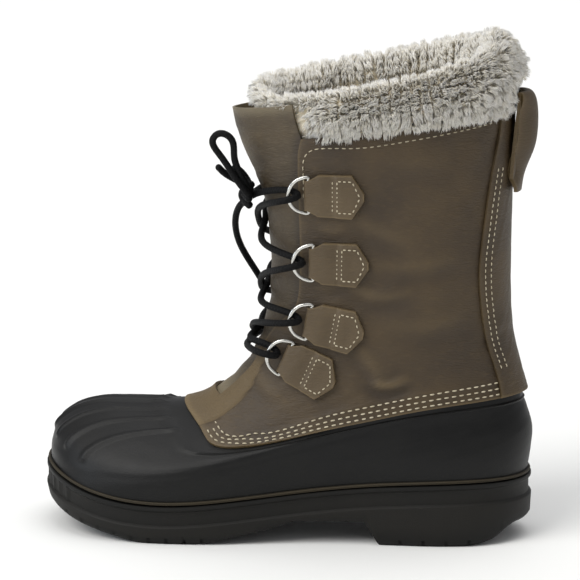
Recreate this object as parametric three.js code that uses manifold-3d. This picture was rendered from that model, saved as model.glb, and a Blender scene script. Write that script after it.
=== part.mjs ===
// A left pac boot: a moulded rubber bottom stitched to a leather shaft, laced through D-shaped rings
// over a tongue, with a felt liner whose deep pile cuff turns down over the collar.
// Millimetres. +X runs from toe to heel, +Y to the inner side of the foot, +Z up, the floor at z = 0.
import * as THREE from "three";
import { mergeVertices } from "three/addons/utils/BufferGeometryUtils.js";
import Module from "manifold-3d";

const wasm = await Module();
wasm.setup();

// Driving dimensions of the last and the shaft
const soleLength = 300; // rubber bottom, toe to heel, along the feather line
const ballWidth = 108; // rubber bottom across the ball of the foot
const toeBoxHeight = 78; // top of the toe box over the floor
const counterHeight = 91; // top of the rubber at the back of the heel
const heelHeight = 40; // feather line over the floor at the heel
const shaftHeight = 265; // top of the leather at the back
const shaftDepth = 156; // collar, front to back
const collarWidth = 95; // collar, side to side
const cuffRise = 48; // fleece above the leather's top edge, at the back
const toeSwing = 9; // how far the toe tip lies to the inner side

// Walls, in offsets from the last's surface
const clearance = 0.3; // between curved pieces that meet
const soleGap = 0.6; // under the shell's foot
const rubberWall = 3;
const leatherWall = 2;
const feltWall = 6;
const staySheet = 2; // backstay and ring tabs
const seamLap = 0.36; // how far the rubber runs up under the leather, in section rows

// Sole
const soleFlange = 2.6; // sole edge beyond the shell
const bandRecess = 1.5; // depth of the band under the sole's top lip
const bandTop = 2.6; // top lip's height
const bandHeight = 9.5;
const archHeight = 15; // underside of the waist over the floor
const toeSpring = 10; // underside over the floor, 22 mm behind the toe tip
const heelBevel = 12; // underside over the floor at the heel's back edge
const heelBreast = 0.317; // place of the heel's front face, as a share of the length from the heel
const lugDepth = 4;
const lugGroove = 3.2;
const lugPitch = 11;
const sideRib = 0.9; // upright ribs on the toe's band
const sideRibs = 13;

// Trim
const stripeHeight = 2.2;
const stripeDepth = 1.9;
const ringWire = 2.4;
const ringHeight = 24;
const ringReach = 11.5;
const tabLength = 35.5;
const tabHeight = 26.5;
const tabNose = 8; // length of the tab's pointed end
const laceDiameter = 4.2;
const loopStrapWidth = 28;
const loopStrap = 2.4; // thickness
const loopRise = 51; // height of the pull loop
const loopReach = 10.5; // how far it stands off the backstay
const pileDepth = 10; // how far the cuff bulges over the leather
const outerDrop = 14; // how much lower the cuff's rim stands on the outer side
const locksAround = 26;

// Lattice shared by every piece that lies on the last
const columns = 32;
const COLLAR = 9; // section row of the leather's top edge
const EDGE = 4; // section row of the rubber's top edge at the front

const sectionNames = [
  "back", "front", "backZ", "frontZ", "dip", "heel", "waist", "ball", "toe", "round",
];
const section = (row) => Object.fromEntries(sectionNames.map((name, i) => [name, row[i]]));

// Sections of the rubber bottom, from the feather line up. back and front are shares of the sole's
// half length, backZ of the counter's height over the heel, frontZ of the toe box's over the heel,
// dip of the toe box's height, and heel to toe are half widths as shares of half the ball's width.
const footSections = [
  [1.015, 1.0, 0.0, 0.0, 0.205, 0.8, 0.77, 0.99, 1.06, 6.2],
  [1.03, 0.995, 0.3, 0.33, 0.22, 0.83, 0.83, 1.0, 1.03, 5.6],
  [1.034, 0.95, 0.55, 0.68, 0.28, 0.81, 0.84, 0.985, 0.99, 5.0],
  [1.015, 0.79, 0.76, 0.94, 0.31, 0.78, 0.825, 0.95, 0.95, 4.2],
  [0.985, 0.42, 1.0, 1.0, 0.205, 0.755, 0.805, 0.86, 0.93, 3.5],
].map(section);

// Sections of the shaft. back is a share of the sole's half length, front of the shaft's depth ahead
// of the back, backZ and frontZ of the height from the rubber's edge to the collar, and the half
// widths are shares of half the collar's width.
const shaftSections = [
  [0.948, 1.13, 0.11, 0.09, 0.14, 0.83, 0.875, 0.885, 0.95, 3.1],
  [0.915, 0.985, 0.245, 0.225, 0.06, 0.83, 0.87, 0.865, 0.87, 2.9],
  [0.905, 0.925, 0.445, 0.43, 0.01, 0.89, 0.905, 0.9, 0.89, 2.8],
  [0.908, 0.947, 0.735, 0.7, 0, 0.95, 0.955, 0.955, 0.95, 2.7],
  [0.915, 1.0, 1.0, 0.893, 0, 1.0, 1.0, 1.0, 1.0, 2.6],
].map(section);

// How the last's middle line swings, as shares of the toe's swing along the length from the heel.
const middleLine = { at: [0, 0.3, 0.5, 0.7, 0.88, 1], swing: [0, -0.06, -0.45, -0.28, 0.45, 1] };

const widthStations = [0.15, 0.45, 0.7, 0.88];
const dipPeak = 2.3; // moves the deepest part of a section's dip towards the ball

// Section rows in millimetres, one form for foot, shaft and cuff.
function sectionRows() {
  const half = soleLength / 2;
  const foot = footSections.map((s) => ({
    backX: s.back * half,
    frontX: -s.front * half,
    backZ: heelHeight + s.backZ * (counterHeight - heelHeight),
    frontZ: heelHeight + s.frontZ * (toeBoxHeight - heelHeight),
    dip: -s.dip * toeBoxHeight,
    widths: [s.heel, s.waist, s.ball, s.toe].map((w) => (w * ballWidth) / 2),
    round: s.round,
  }));
  const shaft = shaftSections.map((s) => ({
    backX: s.back * half,
    frontX: s.back * half - s.front * shaftDepth,
    backZ: counterHeight + s.backZ * (shaftHeight - counterHeight),
    frontZ: toeBoxHeight + s.frontZ * (shaftHeight - toeBoxHeight),
    dip: -s.dip * toeBoxHeight,
    widths: [s.heel, s.waist, s.ball, s.toe].map((w) => (w * collarWidth) / 2),
    round: s.round,
  }));
  const collar = shaft[shaft.length - 1];
  const lean = cuffRise / (shaftHeight - counterHeight);
  const crown = {
    ...collar,
    backX: collar.backX + lean * 8,
    frontX: collar.frontX - lean * 24,
    backZ: collar.backZ + cuffRise,
    frontZ: collar.frontZ + cuffRise * 0.72,
  };
  return [...foot, ...shaft, crown];
}
const rows = sectionRows();

// Cubic through values at uneven places, flat beyond both ends.
function throughPoints(at, values, x) {
  const last = at.length - 1;
  if (x <= at[0]) return values[0];
  if (x >= at[last]) return values[last];
  const k = at.findIndex((a, i) => x < at[i + 1]);
  const slope = (i) =>
    i === 0 || i === last ? 0 : (values[i + 1] - values[i - 1]) / (at[i + 1] - at[i - 1]);
  const h = at[k + 1] - at[k];
  const s = (x - at[k]) / h;
  const [a, b, c] = [s * s * (3 - 2 * s), s * (1 - s) * (1 - s), s * s * (s - 1)];
  return values[k] * (1 - a) + values[k + 1] * a + h * (slope(k) * b + slope(k + 1) * c);
}

// Cubic between section rows, straight on past the first and the last.
function betweenRows(read, v) {
  const last = rows.length - 1;
  const k = Math.min(Math.max(Math.floor(v), 0), last - 1);
  const f = v - k;
  const value = (i) =>
    i < 0 ? 2 * read(rows[0]) - read(rows[1])
      : i > last ? 2 * read(rows[last]) - read(rows[last - 1]) : read(rows[i]);
  const [p0, p1, p2, p3] = [value(k - 1), value(k), value(k + 1), value(k + 2)];
  const [m1, m2] = [(p2 - p0) / 2, (p3 - p1) / 2];
  const [f2, f3] = [f * f, f * f * f];
  return (2 * f3 - 3 * f2 + 1) * p1 + (f3 - 2 * f2 + f) * m1 + (3 * f2 - 2 * f3) * p2 + (f3 - f2) * m2;
}

const smooth = (low, high, x) => THREE.MathUtils.smoothstep(x, low, high);

// A point of the last. angle runs from the back (0) by the outer side to the front (pi) and back by
// the inner side; v is the section row.
function lastPoint(angle, v) {
  const along = (1 - Math.cos(angle)) / 2;
  const get = (read) => betweenRows(read, v);
  const x = THREE.MathUtils.lerp(get((r) => r.backX), get((r) => r.frontX), along);
  const chord = THREE.MathUtils.lerp(get((r) => r.backZ), get((r) => r.frontZ), along);
  const z = chord + get((r) => r.dip) * Math.sin(Math.PI * along ** dipPeak);
  const widths = widthStations.map((_, i) => get((r) => r.widths[i]));
  const end = Math.sqrt(Math.max(0, 1 - Math.abs(Math.cos(angle)) ** get((r) => r.round)));
  const side = Math.sin(angle) >= 0 ? -1 : 1;
  const swing = toeSwing * throughPoints(middleLine.at, middleLine.swing, along) * (1 - smooth(2.5, 7, v));
  return new THREE.Vector3(x, swing + side * end * throughPoints(widthStations, widths, along), z);
}

// The last's outward direction.
function lastNormal(angle, v) {
  const step = 0.01;
  const round = lastPoint(angle + step, v).sub(lastPoint(angle - step, v));
  const up = lastPoint(angle, v + step).sub(lastPoint(angle, v - step));
  return up.cross(round).normalize();
}

// A point at a distance outside the last.
function skinPoint(angle, v, offset) {
  return lastPoint(angle, v).addScaledVector(lastNormal(angle, v), offset);
}

const bell = (x, middle, spread) => Math.exp(-(((x - middle) / spread) ** 2));

// The rubber's top edge: its section row dips to a corner at each side of the vamp.
const cornerAt = 0.775;
const cornerSpread = 0.12;
const cornerDip = 0.4;
function edgeRow(angle) {
  return EDGE - cornerDip * bell((1 - Math.cos(angle)) / 2, cornerAt, cornerSpread);
}

// A closed solid from points and triangles, turned to face outwards.
function solidFrom(points, faces) {
  const vertProperties = new Float32Array(points.flatMap((p) => [p.x, p.y, p.z]));
  let volume = 0;
  for (const [a, b, c] of faces) volume += points[a].dot(points[b].clone().cross(points[c]));
  const turned = volume < 0 ? faces.map(([a, b, c]) => [a, c, b]) : faces;
  const triVerts = new Uint32Array(turned.flat());
  return new wasm.Manifold(new wasm.Mesh({ numProp: 3, vertProperties, triVerts }));
}

const largest = (solid) => solid.decompose().reduce((a, b) => (a.volume() > b.volume() ? a : b));

// A three.js geometry as a solid.
function solidOf(geometry) {
  const bare = geometry.clone();
  bare.deleteAttribute("normal");
  bare.deleteAttribute("uv");
  const merged = mergeVertices(bare, 1e-4);
  return new wasm.Manifold(
    new wasm.Mesh({
      numProp: 3,
      vertProperties: new Float32Array(merged.attributes.position.array),
      triVerts: new Uint32Array(merged.index.array),
    }),
  );
}

// A wall between an outer and an inner lattice, lattice[row][column]. A ring's columns close on
// themselves, and a patch gets side walls.
function wall(outer, inner, ring) {
  const [high, wide] = [outer.length, outer[0].length];
  const points = [...outer.flat(), ...inner.flat()];
  const at = (layer, j, i) => layer * high * wide + j * wide + (i % wide);
  const faces = [];
  const quad = (a, b, c, d) => faces.push([a, b, c], [a, c, d]);
  const spans = ring ? wide : wide - 1;
  for (let i = 0; i < spans; i++) {
    for (let j = 0; j < high - 1; j++) {
      quad(at(0, j, i), at(0, j, i + 1), at(0, j + 1, i + 1), at(0, j + 1, i));
      faces.push([at(1, j, i), at(1, j + 1, i + 1), at(1, j, i + 1)]);
      faces.push([at(1, j, i), at(1, j + 1, i), at(1, j + 1, i + 1)]);
    }
    quad(at(0, 0, i + 1), at(0, 0, i), at(1, 0, i), at(1, 0, i + 1));
    quad(at(0, high - 1, i), at(0, high - 1, i + 1), at(1, high - 1, i + 1), at(1, high - 1, i));
  }
  if (!ring) {
    for (let j = 0; j < high - 1; j++) {
      quad(at(0, j, 0), at(0, j + 1, 0), at(1, j + 1, 0), at(1, j, 0));
      quad(at(0, j + 1, wide - 1), at(0, j, wide - 1), at(1, j, wide - 1), at(1, j + 1, wide - 1));
    }
  }
  return solidFrom(points, faces);
}

const allAngles = Array.from({ length: columns }, (_, i) => (2 * Math.PI * i) / columns);
const backAngles = (reach) => allAngles.map((_, i) => ((i - columns / 2) * 2 * Math.PI) / columns)
  .filter((a) => Math.abs(a) <= reach + 1e-6);

// A wall on the last, between two offsets, with rowsOf(angle) giving its section rows.
function skin(angles, rowsOf, outside, inside, ring) {
  const lists = angles.map(rowsOf);
  const lattice = (offset) =>
    lists[0].map((_, j) => angles.map((angle, i) => skinPoint(angle, lists[i][j], offset)));
  return wall(lattice(outside), lattice(inside), ring);
}

// A tube along points, with round section; a closed path joins its ends.
function tube(path, radius, sides, closed = false) {
  const n = path.length;
  const tangent = (i) => {
    const [a, b] = closed ? [(i + n - 1) % n, (i + 1) % n] : [Math.max(i - 1, 0), Math.min(i + 1, n - 1)];
    return path[b].clone().sub(path[a]).normalize();
  };
  const first = tangent(0);
  let across = new THREE.Vector3(0, 0, 1).cross(first);
  if (across.length() < 0.1) across = new THREE.Vector3(0, 1, 0).cross(first);
  across.normalize();
  const points = [];
  for (let i = 0; i < n; i++) {
    const along = tangent(i);
    across.addScaledVector(along, -across.dot(along)).normalize();
    const other = along.clone().cross(across);
    for (let k = 0; k < sides; k++) {
      const turn = (2 * Math.PI * k) / sides;
      points.push(path[i].clone().addScaledVector(across, radius * Math.cos(turn))
        .addScaledVector(other, radius * Math.sin(turn)));
    }
  }
  const faces = [];
  const at = (i, k) => (i % n) * sides + (k % sides);
  for (let i = 0; i < (closed ? n : n - 1); i++) {
    for (let k = 0; k < sides; k++) {
      faces.push([at(i, k), at(i, k + 1), at(i + 1, k + 1)], [at(i, k), at(i + 1, k + 1), at(i + 1, k)]);
    }
  }
  if (!closed) {
    for (let k = 1; k < sides - 1; k++) {
      faces.push([at(0, 0), at(0, k + 1), at(0, k)], [at(n - 1, 0), at(n - 1, k), at(n - 1, k + 1)]);
    }
  }
  return solidFrom(points, faces);
}

const smoothCurve = (points) => new THREE.CatmullRomCurve3(points, false, "centripetal");
const smoothPath = (points, steps) => smoothCurve(points).getSpacedPoints(steps);

// An upright prism: an outline in x and z carried across the boot's width.
function acrossWidth(outline, width) {
  const shape = new THREE.Shape(outline.map(([x, z]) => new THREE.Vector2(x, z)));
  const made = new THREE.ExtrudeGeometry(shape, { depth: width, bevelEnabled: false });
  made.rotateX(Math.PI / 2).translate(0, width / 2, 0);
  return solidOf(made);
}

// Throat: the half angle between the quarters' front edges, by section row, closed at its foot.
const throat = {
  at: [4.62, 5.1, 5.6, 6.0, 6.35, 6.7, 7.2, 8, 8.6, COLLAR, 9.6],
  open: [0.34, 0.36, 0.4, 0.44, 0.56, 0.79, 0.834, 0.87, 0.918, 0.987, 1.21],
};
const leatherOut = clearance + leatherWall;
const shaftRows = [4.75, 5.2, 5.7, 6.3, 7, 7.7, 8.4, COLLAR];

// Leather shaft: both quarters and the vamp as one wall, cut open at the throat.
function leatherShaft() {
  const rowsOf = (angle) => [edgeRow(angle), edgeRow(angle) + seamLap, ...shaftRows];
  const closedWall = skin(allAngles, rowsOf, leatherOut, clearance, true);
  const steps = 8;
  const levels = throat.at;
  const lattice = (offset) => levels.map((v) => {
    const open = throughPoints(throat.at, throat.open, v);
    const angle = (i) => Math.PI + open * ((2 * i) / steps - 1);
    return Array.from({ length: steps + 1 }, (_, i) => skinPoint(angle(i), v, offset));
  });
  return closedWall.subtract(wall(lattice(leatherOut + 4), lattice(-4), false));
}

// Tongue: from under the vamp up past the collar, inside the quarters, its top leaning forwards.
const tongueRows = [4.42, 4.9, 5.4, 5.9, 6.5, 7.2, 7.9, 8.5, 9.05, 9.55];
const tongueHalf = { at: [4.42, 5.4, 6.2, 7, 8, 9.55], open: [0.6, 0.66, 0.8, 1.04, 1.1, 0.92] };
const tongueFlare = 10; // how far the top leans out
const tongueOut = -0.6;
function tongue() {
  const steps = 8;
  const lattice = (offset) => tongueRows.map((v) => {
    const open = throughPoints(tongueHalf.at, tongueHalf.open, v);
    const lean = tongueFlare * smooth(7.6, 9.4, v);
    return Array.from({ length: steps + 1 }, (_, i) => {
      const share = (2 * i) / steps - 1;
      const point = skinPoint(Math.PI + open * share, v, offset);
      point.x -= lean * Math.max(0, 1 - (share / 0.74) ** 2);
      return point;
    });
  });
  return wall(lattice(tongueOut), lattice(tongueOut - 1.8), false);
}

// Backstay: a strip over the back seam, from the rubber's edge to the collar.
const stayReach = (3 * 2 * Math.PI) / columns; // half angle, three columns each way
function backstay() {
  const rowsOf = (angle) => [edgeRow(angle), edgeRow(angle) + seamLap, ...shaftRows];
  const low = leatherOut + clearance;
  return skin(backAngles(stayReach), rowsOf, low + staySheet, low, false);
}

// Liner: a felt sock inside shell and shaft, with its own sole, open at the top.
const linerTop = 8.55;
const linerOut = -rubberWall - 1.8;
function liner() {
  const shares = [0.03, 1 / 3, 2 / 3, 5 / 6, 1];
  const above = [4.36, 4.8, 5.3, 5.9, 6.8, 7.7, linerTop];
  const rowsOf = (angle) => [
    ...shares.map((share) => share * belowEdge(angle, lipDrop + 1.6)),
    belowEdge(angle, lipDrop - 1.6),
    edgeRow(angle),
    ...above,
  ];
  const lists = allAngles.map(rowsOf);
  const lattice = (offset) => lists[0].map((_, j) =>
    allAngles.map((a, i) => skinPoint(a, lists[i][j], offset - 1.2 * smooth(3.8, 5.2, lists[i][j]))));
  const outside = lattice(linerOut);
  const inside = lattice(linerOut - feltWall);
  inside[0].forEach((point) => point.setZ(point.z + feltWall));
  return cupFrom(outside, inside);
}

// A cup: two lattices of rings, joined at the top, each closed at the foot straight across.
function cupFrom(outside, inside) {
  const [high, wide] = [outside.length, outside[0].length];
  const at = (layer, j, i) => layer * high * wide + j * wide + ((i + wide) % wide);
  const faces = [];
  const quad = (a, b, c, d) => faces.push([a, b, c], [a, c, d]);
  for (let i = 0; i < wide; i++) {
    for (let j = 0; j < high - 1; j++) {
      quad(at(0, j, i), at(0, j, i + 1), at(0, j + 1, i + 1), at(0, j + 1, i));
      quad(at(1, j, i + 1), at(1, j, i), at(1, j + 1, i), at(1, j + 1, i + 1));
    }
    quad(at(0, high - 1, i), at(0, high - 1, i + 1), at(1, high - 1, i + 1), at(1, high - 1, i));
  }
  faces.push(...across((i) => at(0, 0, i), wide, false), ...across((i) => at(1, 0, i), wide, true));
  return solidFrom([...outside.flat(), ...inside.flat()], faces);
}

// Triangles straight across a ring, from one side to the other.
function across(index, wide, turned) {
  const faces = [];
  for (let i = 0; i < wide / 2; i++) {
    const [a, b, c, d] = [index(i), index(i + 1), index(-i - 1), index(-i)];
    if (i < wide / 2 - 1) faces.push([a, c, b]);
    if (i > 0) faces.push([a, d, c]);
  }
  return turned ? faces.map((f) => f.reverse()) : faces;
}

// The feather line moved out or in, seen from above.
function rimPoint(angle, out) {
  const step = 0.02;
  const along = lastPoint(angle + step, 0).sub(lastPoint(angle - step, 0));
  const outward = new THREE.Vector3(-along.y, along.x, 0).normalize();
  return lastPoint(angle, 0).addScaledVector(outward, out);
}

// Underside of the sole: spring at the toe, bevel at the heel, flat on the floor between.
const underside = {
  at: [-150, -143, -128, -99, -82, -60, 100, 116, 132, 147],
  z: [2.1, 1.55, 1, 0.32, 0, 0, 0, 0, 0.29, 1],
};
function soleZ(x) {
  const share = throughPoints(underside.at, underside.z, x);
  return Math.max(0, share * (x < 0 ? toeSpring : heelBevel));
}

// Outsole: lip, band and ledge round the side, the treads cut from below.
function outsole() {
  const wide = 48;
  const turn = (i) => {
    const a = (2 * Math.PI * i) / wide;
    return a - 0.1 * Math.sin(2 * a);
  };
  const profile = (angle) => {
    const rim = lastPoint(angle, 0).z - soleGap;
    const foot = soleZ(lastPoint(angle, 0).x);
    const lip = rim - bandTop;
    const ledge = Math.max(lip - bandHeight, foot + 5.5);
    const recess = soleFlange - bandRecess;
    return [
      [soleFlange, rim],
      [soleFlange, lip],
      [recess, lip - 0.9],
      [recess, ledge],
      [soleFlange + 0.3, ledge - 1],
      [soleFlange - 0.2, foot + lugDepth * 0.7],
      [soleFlange - 2.4, foot],
    ];
  };
  const rings = Array.from({ length: 7 }, () => []);
  for (let i = 0; i < wide; i++) {
    const angle = turn(i);
    profile(angle).forEach(([out, z], j) => rings[j].push(rimPoint(angle, out).setZ(z)));
  }
  const points = rings.flat();
  const at = (j, i) => j * wide + ((i + wide) % wide);
  const faces = [];
  for (let j = 0; j < rings.length - 1; j++) {
    for (let i = 0; i < wide; i++) {
      faces.push([at(j, i), at(j + 1, i + 1), at(j, i + 1)], [at(j, i), at(j + 1, i), at(j + 1, i + 1)]);
    }
  }
  faces.push(...across((i) => at(0, i), wide, true), ...across((i) => at(rings.length - 1, i), wide, false));
  let sole = solidFrom(points, faces);

  const bumps = Array.from({ length: sideRibs }, (_, k) => {
    const angle = Math.PI + (k - (sideRibs - 1) / 2) * 0.085;
    const [foot, rim] = [soleZ(lastPoint(angle, 0).x), lastPoint(angle, 0).z - soleGap];
    const [top, low] = [rim - bandTop - 0.5, Math.max(rim - bandTop - bandHeight, foot + 5.5) - 0.6];
    const inner = rimPoint(angle, soleFlange - bandRecess - 2);
    const outer = rimPoint(angle, soleFlange - bandRecess + sideRib);
    const box = new THREE.BoxGeometry(inner.distanceTo(outer), 2.3, top - low);
    box.rotateZ(Math.atan2(outer.y - inner.y, outer.x - inner.x));
    const middle = inner.add(outer).multiplyScalar(0.5);
    return solidOf(box.translate(middle.x, middle.y, (top + low) / 2));
  });
  bumps.forEach((bump) => { sole = sole.add(bump); });

  const breast = soleLength / 2 - heelBreast * soleLength;
  const arch = [
    [-50, -6], [-50, 0], [-40, 1.4], [-19, 6.2], [-5, 9.6], [12, archHeight],
    [breast, archHeight], [breast + 9, 0], [breast + 9, -6],
  ];
  const groove = (x, depth) => [
    [x - lugGroove / 2, -6], [x + lugGroove / 2, -6],
    [x + lugGroove / 2 - 0.6, soleZ(x) + depth], [x - lugGroove / 2 + 0.6, soleZ(x) + depth],
  ];
  const cuts = [acrossWidth(arch, ballWidth * 1.5)];
  for (let x = -132; x < -30; x += lugPitch) {
    cuts.push(acrossWidth(groove(x, lugDepth), ballWidth * 1.5));
  }
  for (let x = breast + 22; x < 130; x += lugPitch + 3) {
    cuts.push(acrossWidth(groove(x, lugDepth), ballWidth * 1.5));
  }
  cuts.push(acrossWidth([[-116, -6], [-34, -6], [-34, 3], [-82, 3], [-116, 10]], lugGroove));
  cuts.push(acrossWidth([[breast + 14, -6], [122, -6], [122, 3], [breast + 14, 3]], lugGroove));
  cuts.forEach((cut) => { sole = sole.subtract(cut); });
  return sole;
}

// Foxing stripe, standing on the sole's lip against the shell.
function stripe() {
  const grow = (v, out) => allAngles.map((angle) => {
    const reach = (lastPoint(angle, 0.35).z - lastPoint(angle, 0).z) || 1;
    return skinPoint(angle, (0.35 * v) / reach, out);
  });
  const lattice = (out) => [grow(0.4, out), grow(stripeHeight, out)];
  return wall(lattice(stripeDepth), lattice(clearance), true);
}

// Section row at a distance below the rubber's edge, measured on the surface.
function belowEdge(angle, distance) {
  const edge = edgeRow(angle);
  const step = 0.02;
  const onEdge = (a) => lastPoint(a, edgeRow(a));
  const along = onEdge(angle + step).sub(onEdge(angle - step)).normalize();
  const up = lastPoint(angle, edge).sub(lastPoint(angle, edge - 0.1)).multiplyScalar(10);
  return edge - distance / Math.max(up.cross(along).length(), 22);
}

// Rubber shell: from the feather line to its edge, with a lip under the edge and ribs over the toe,
// and on under the leather.
const lipDrop = 8;
const lipHeight = 0.8;
const toeRibs = 6;
const toeRibSpread = 0.6; // half angle of the outermost toe ribs
function rubberShell() {
  const steps = 5;
  const rowsOf = (angle) => {
    const lip = belowEdge(angle, lipDrop);
    const lower = Array.from({ length: steps + 1 }, (_, k) => (belowEdge(angle, lipDrop + 1.6) * k) / steps);
    return [...lower, lip, belowEdge(angle, lipDrop - 1.6), edgeRow(angle), edgeRow(angle) + seamLap];
  };
  const lists = allAngles.map(rowsOf);
  const lattice = (offset, raise) => lists[0].map((_, j) =>
    allAngles.map((angle, i) => skinPoint(angle, lists[i][j], offset + (j === steps + 1 ? raise : 0))));
  let shell = wall(lattice(0, lipHeight), lattice(-rubberWall, 0), true);
  const room = wall(lattice(0, 0), lattice(-rubberWall - clearance, 0), true);
  for (let k = 0; k < toeRibs; k++) {
    const angle = Math.PI + toeRibSpread * ((2 * k) / (toeRibs - 1) - 1);
    const reach = Math.abs(k - (toeRibs - 1) / 2) / ((toeRibs - 1) / 2);
    const last = 6;
    const path = Array.from({ length: last + 1 }, (_, i) => {
      const row = THREE.MathUtils.lerp(1.5 - 0.2 * reach, edgeRow(angle) - 0.22, i / last);
      return skinPoint(angle, row, i === 0 || i === last ? -1.1 : -0.6);
    });
    shell = shell.add(tube(path, 1.6, 6));
  }
  return { shell, room };
}

// Frame of a ring's bar on the shaft: the bar's middle, forwards, along the bar, and outwards.
const barOut = leatherOut + clearance + 2.8;
const ringStations = [
  { angle: 2.14, row: 8.12, tilt: 0 },
  { angle: 2.14, row: 7.3, tilt: 0.02 },
  { angle: 2.15, row: 6.5, tilt: 0.2 },
  { angle: 2.29, row: 5.86, tilt: 0.46 },
];
function ringFrame(station, side) {
  const angle = side < 0 ? station.angle : 2 * Math.PI - station.angle;
  const middle = skinPoint(angle, station.row, barOut);
  const outward = lastNormal(angle, station.row);
  const level = new THREE.Vector3(-1, 0, 0).addScaledVector(outward, outward.x).normalize();
  const upright = level.clone().cross(outward).normalize();
  if (upright.z < 0) upright.negate();
  const forward = level.multiplyScalar(Math.cos(station.tilt));
  forward.addScaledVector(upright, Math.sin(station.tilt));
  const along = forward.clone().cross(outward).normalize();
  if (along.z < 0) along.negate();
  return { middle, forward, along, outward, angle, station };
}

// A place in a ring's frame.
function framePoint(frame, ahead, up, out) {
  return frame.middle.clone().addScaledVector(frame.forward, ahead)
    .addScaledVector(frame.along, up).addScaledVector(frame.outward, out);
}

// D-ring: a straight bar at the back and a bow in front, lifted at its front.
const ringLift = 5.2;
function dRing(frame, wire = ringWire) {
  const half = ringHeight / 2 - ringWire / 2;
  const path = [-0.8, 0, 0.8].map((share) => framePoint(frame, 0, share * half, 0));
  const bow = 9;
  for (let i = 0; i <= bow; i++) {
    const turn = Math.PI / 2 - (Math.PI * i) / bow;
    const ahead = (ringReach - ringWire / 2) * Math.cos(turn) ** 0.8 + 0.6 * Math.sin((Math.PI * i) / bow);
    path.push(framePoint(frame, ahead, half * Math.sin(turn), (ringLift * ahead) / ringReach));
  }
  return tube(path, wire / 2, 6, true);
}

// Everything inside the leather, 0.3 mm larger, with the leather's own facets.
const shaftCore = (() => {
  const rowsOf = (angle) => [edgeRow(angle), edgeRow(angle) + seamLap, ...shaftRows];
  return skin(allAngles, rowsOf, leatherOut + clearance, -12, true);
})();

// Ring tab: a leather strip folded round the ring's bar, its tail a pentagon on the quarter.
function ringTab(frame) {
  const columnsOf = [
    { at: 2.9, high: 1.2, low: -1.2 },
    { at: 1.4, high: 2.6, low: -2.8 },
    { at: -1.4, high: 2.7, low: -4.4 },
    { at: -5 },
    { at: -(tabLength - tabNose) },
    { at: -tabLength },
  ];
  const spots = [-1, 0, 1];
  const lattice = (key) => spots.map((share) => columnsOf.map((c, i) => {
    const last = i === columnsOf.length - 1;
    const tall = i < 3 ? ringHeight / 2 - ringWire - 0.5 : (tabHeight / 2) * (last ? 0.16 : 1);
    const spot = framePoint(frame, c.at, share * tall, 0);
    if (i < 3) return spot.addScaledVector(frame.outward, c[key]);
    const level = key === "low" ? -2 : leatherOut + clearance + (i === 3 ? 3.8 : 2.4);
    return draped(spot, frame.angle, frame.station.row, level);
  }));
  const body = wall(lattice("high"), lattice("low"), false);
  const bar = [-1, 1].map((s) => framePoint(frame, 0, s * tabHeight * 0.6, 0));
  const hole = tube(bar, ringWire / 2 + clearance, 8);
  return largest(body.subtract(shaftCore).subtract(hole));
}

// The point over the last nearest to a place, at a distance outside it, sought from a start.
function draped(spot, angle, row, distance) {
  const step = 0.02;
  let [a, v] = [angle, row];
  for (let turn = 0; turn < 5; turn++) {
    const base = lastPoint(a, v);
    const round = lastPoint(a + step, v).sub(base).divideScalar(step);
    const up = lastPoint(a, v + step).sub(base).divideScalar(step);
    const off = spot.clone().sub(base);
    const [rr, uu, ru] = [round.lengthSq(), up.lengthSq(), round.dot(up)];
    const [ro, uo] = [round.dot(off), up.dot(off)];
    const area = rr * uu - ru * ru;
    a += (ro * uu - uo * ru) / area;
    v += (uo * rr - ro * ru) / area;
  }
  return skinPoint(a, v, distance);
}

// Lace crossings: one lace through every ring, crossing over the tongue, a bar at the foot.
const laceLow = -4.3;
const laceHigh = 4.3;
function laceCrossings(frames, knot) {
  const laceR = laceDiameter / 2;
  const wireAt = ringReach - ringWire / 2;
  const under = (f) => framePoint(f, wireAt + 0.7, 2, ringLift + laceLow);
  const turnAt = (f) => framePoint(f, wireAt - 4.7, 0, ringLift * 0.5);
  const over = (f) => framePoint(f, wireAt + 0.6, -2, ringLift + laceHigh);
  const bothSides = (k) => [frames[0][k], frames[1][k]];
  const parts = [];
  const strand = (points, steps) => parts.push(tube(smoothPath(points, steps), laceR, 6));
  // Over the tongue from one frame towards the middle, at shares of the way
  const drape = (f, share, row, out) => {
    const angle = THREE.MathUtils.lerp(f.angle + (f.angle < Math.PI ? 0.34 : -0.34), Math.PI, share);
    return skinPoint(angle, THREE.MathUtils.lerp(f.station.row, row, share), out);
  };
  const bottom = ringStations.length - 1;
  const [a, b] = bothSides(bottom);
  const foot = a.station.row - 0.02;
  const half = (f) => [under(f), turnAt(f), over(f), drape(f, 0.5, foot, 6.5)];
  strand([...half(a), skinPoint(Math.PI, foot, 4.2), ...half(b).reverse()], 26);
  for (let k = bottom; k > 0; k--) {
    const row = (ringStations[k].row + ringStations[k - 1].row) / 2;
    for (const [from, to] of [[0, 1], [1, 0]].map(([p, q]) => [frames[p][k], frames[q][k - 1]])) {
      const start = [under(from), drape(from, 0.5, row, 6.6), skinPoint(Math.PI, row, 3.6)];
      strand([...start, drape(to, 0.5, row, 6.2), over(to), turnAt(to), under(to)], 16);
    }
  }
  const top = (f) => [under(f), drape(f, 0.5, f.station.row, 6), knot];
  for (const f of bothSides(0)) strand(top(f), 9);
  return parts.reduce((x, y) => x.add(y));
}

// A cord as a swept circle along a smooth path.
function cord(points, steps) {
  const round = new THREE.Shape().absarc(0, 0, laceDiameter / 2, 0, 2 * Math.PI, false);
  const extrudePath = smoothCurve(points);
  const settings = { steps, extrudePath, bevelEnabled: false, curveSegments: 3 };
  return solidOf(new THREE.ExtrudeGeometry(round, settings));
}

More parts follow.
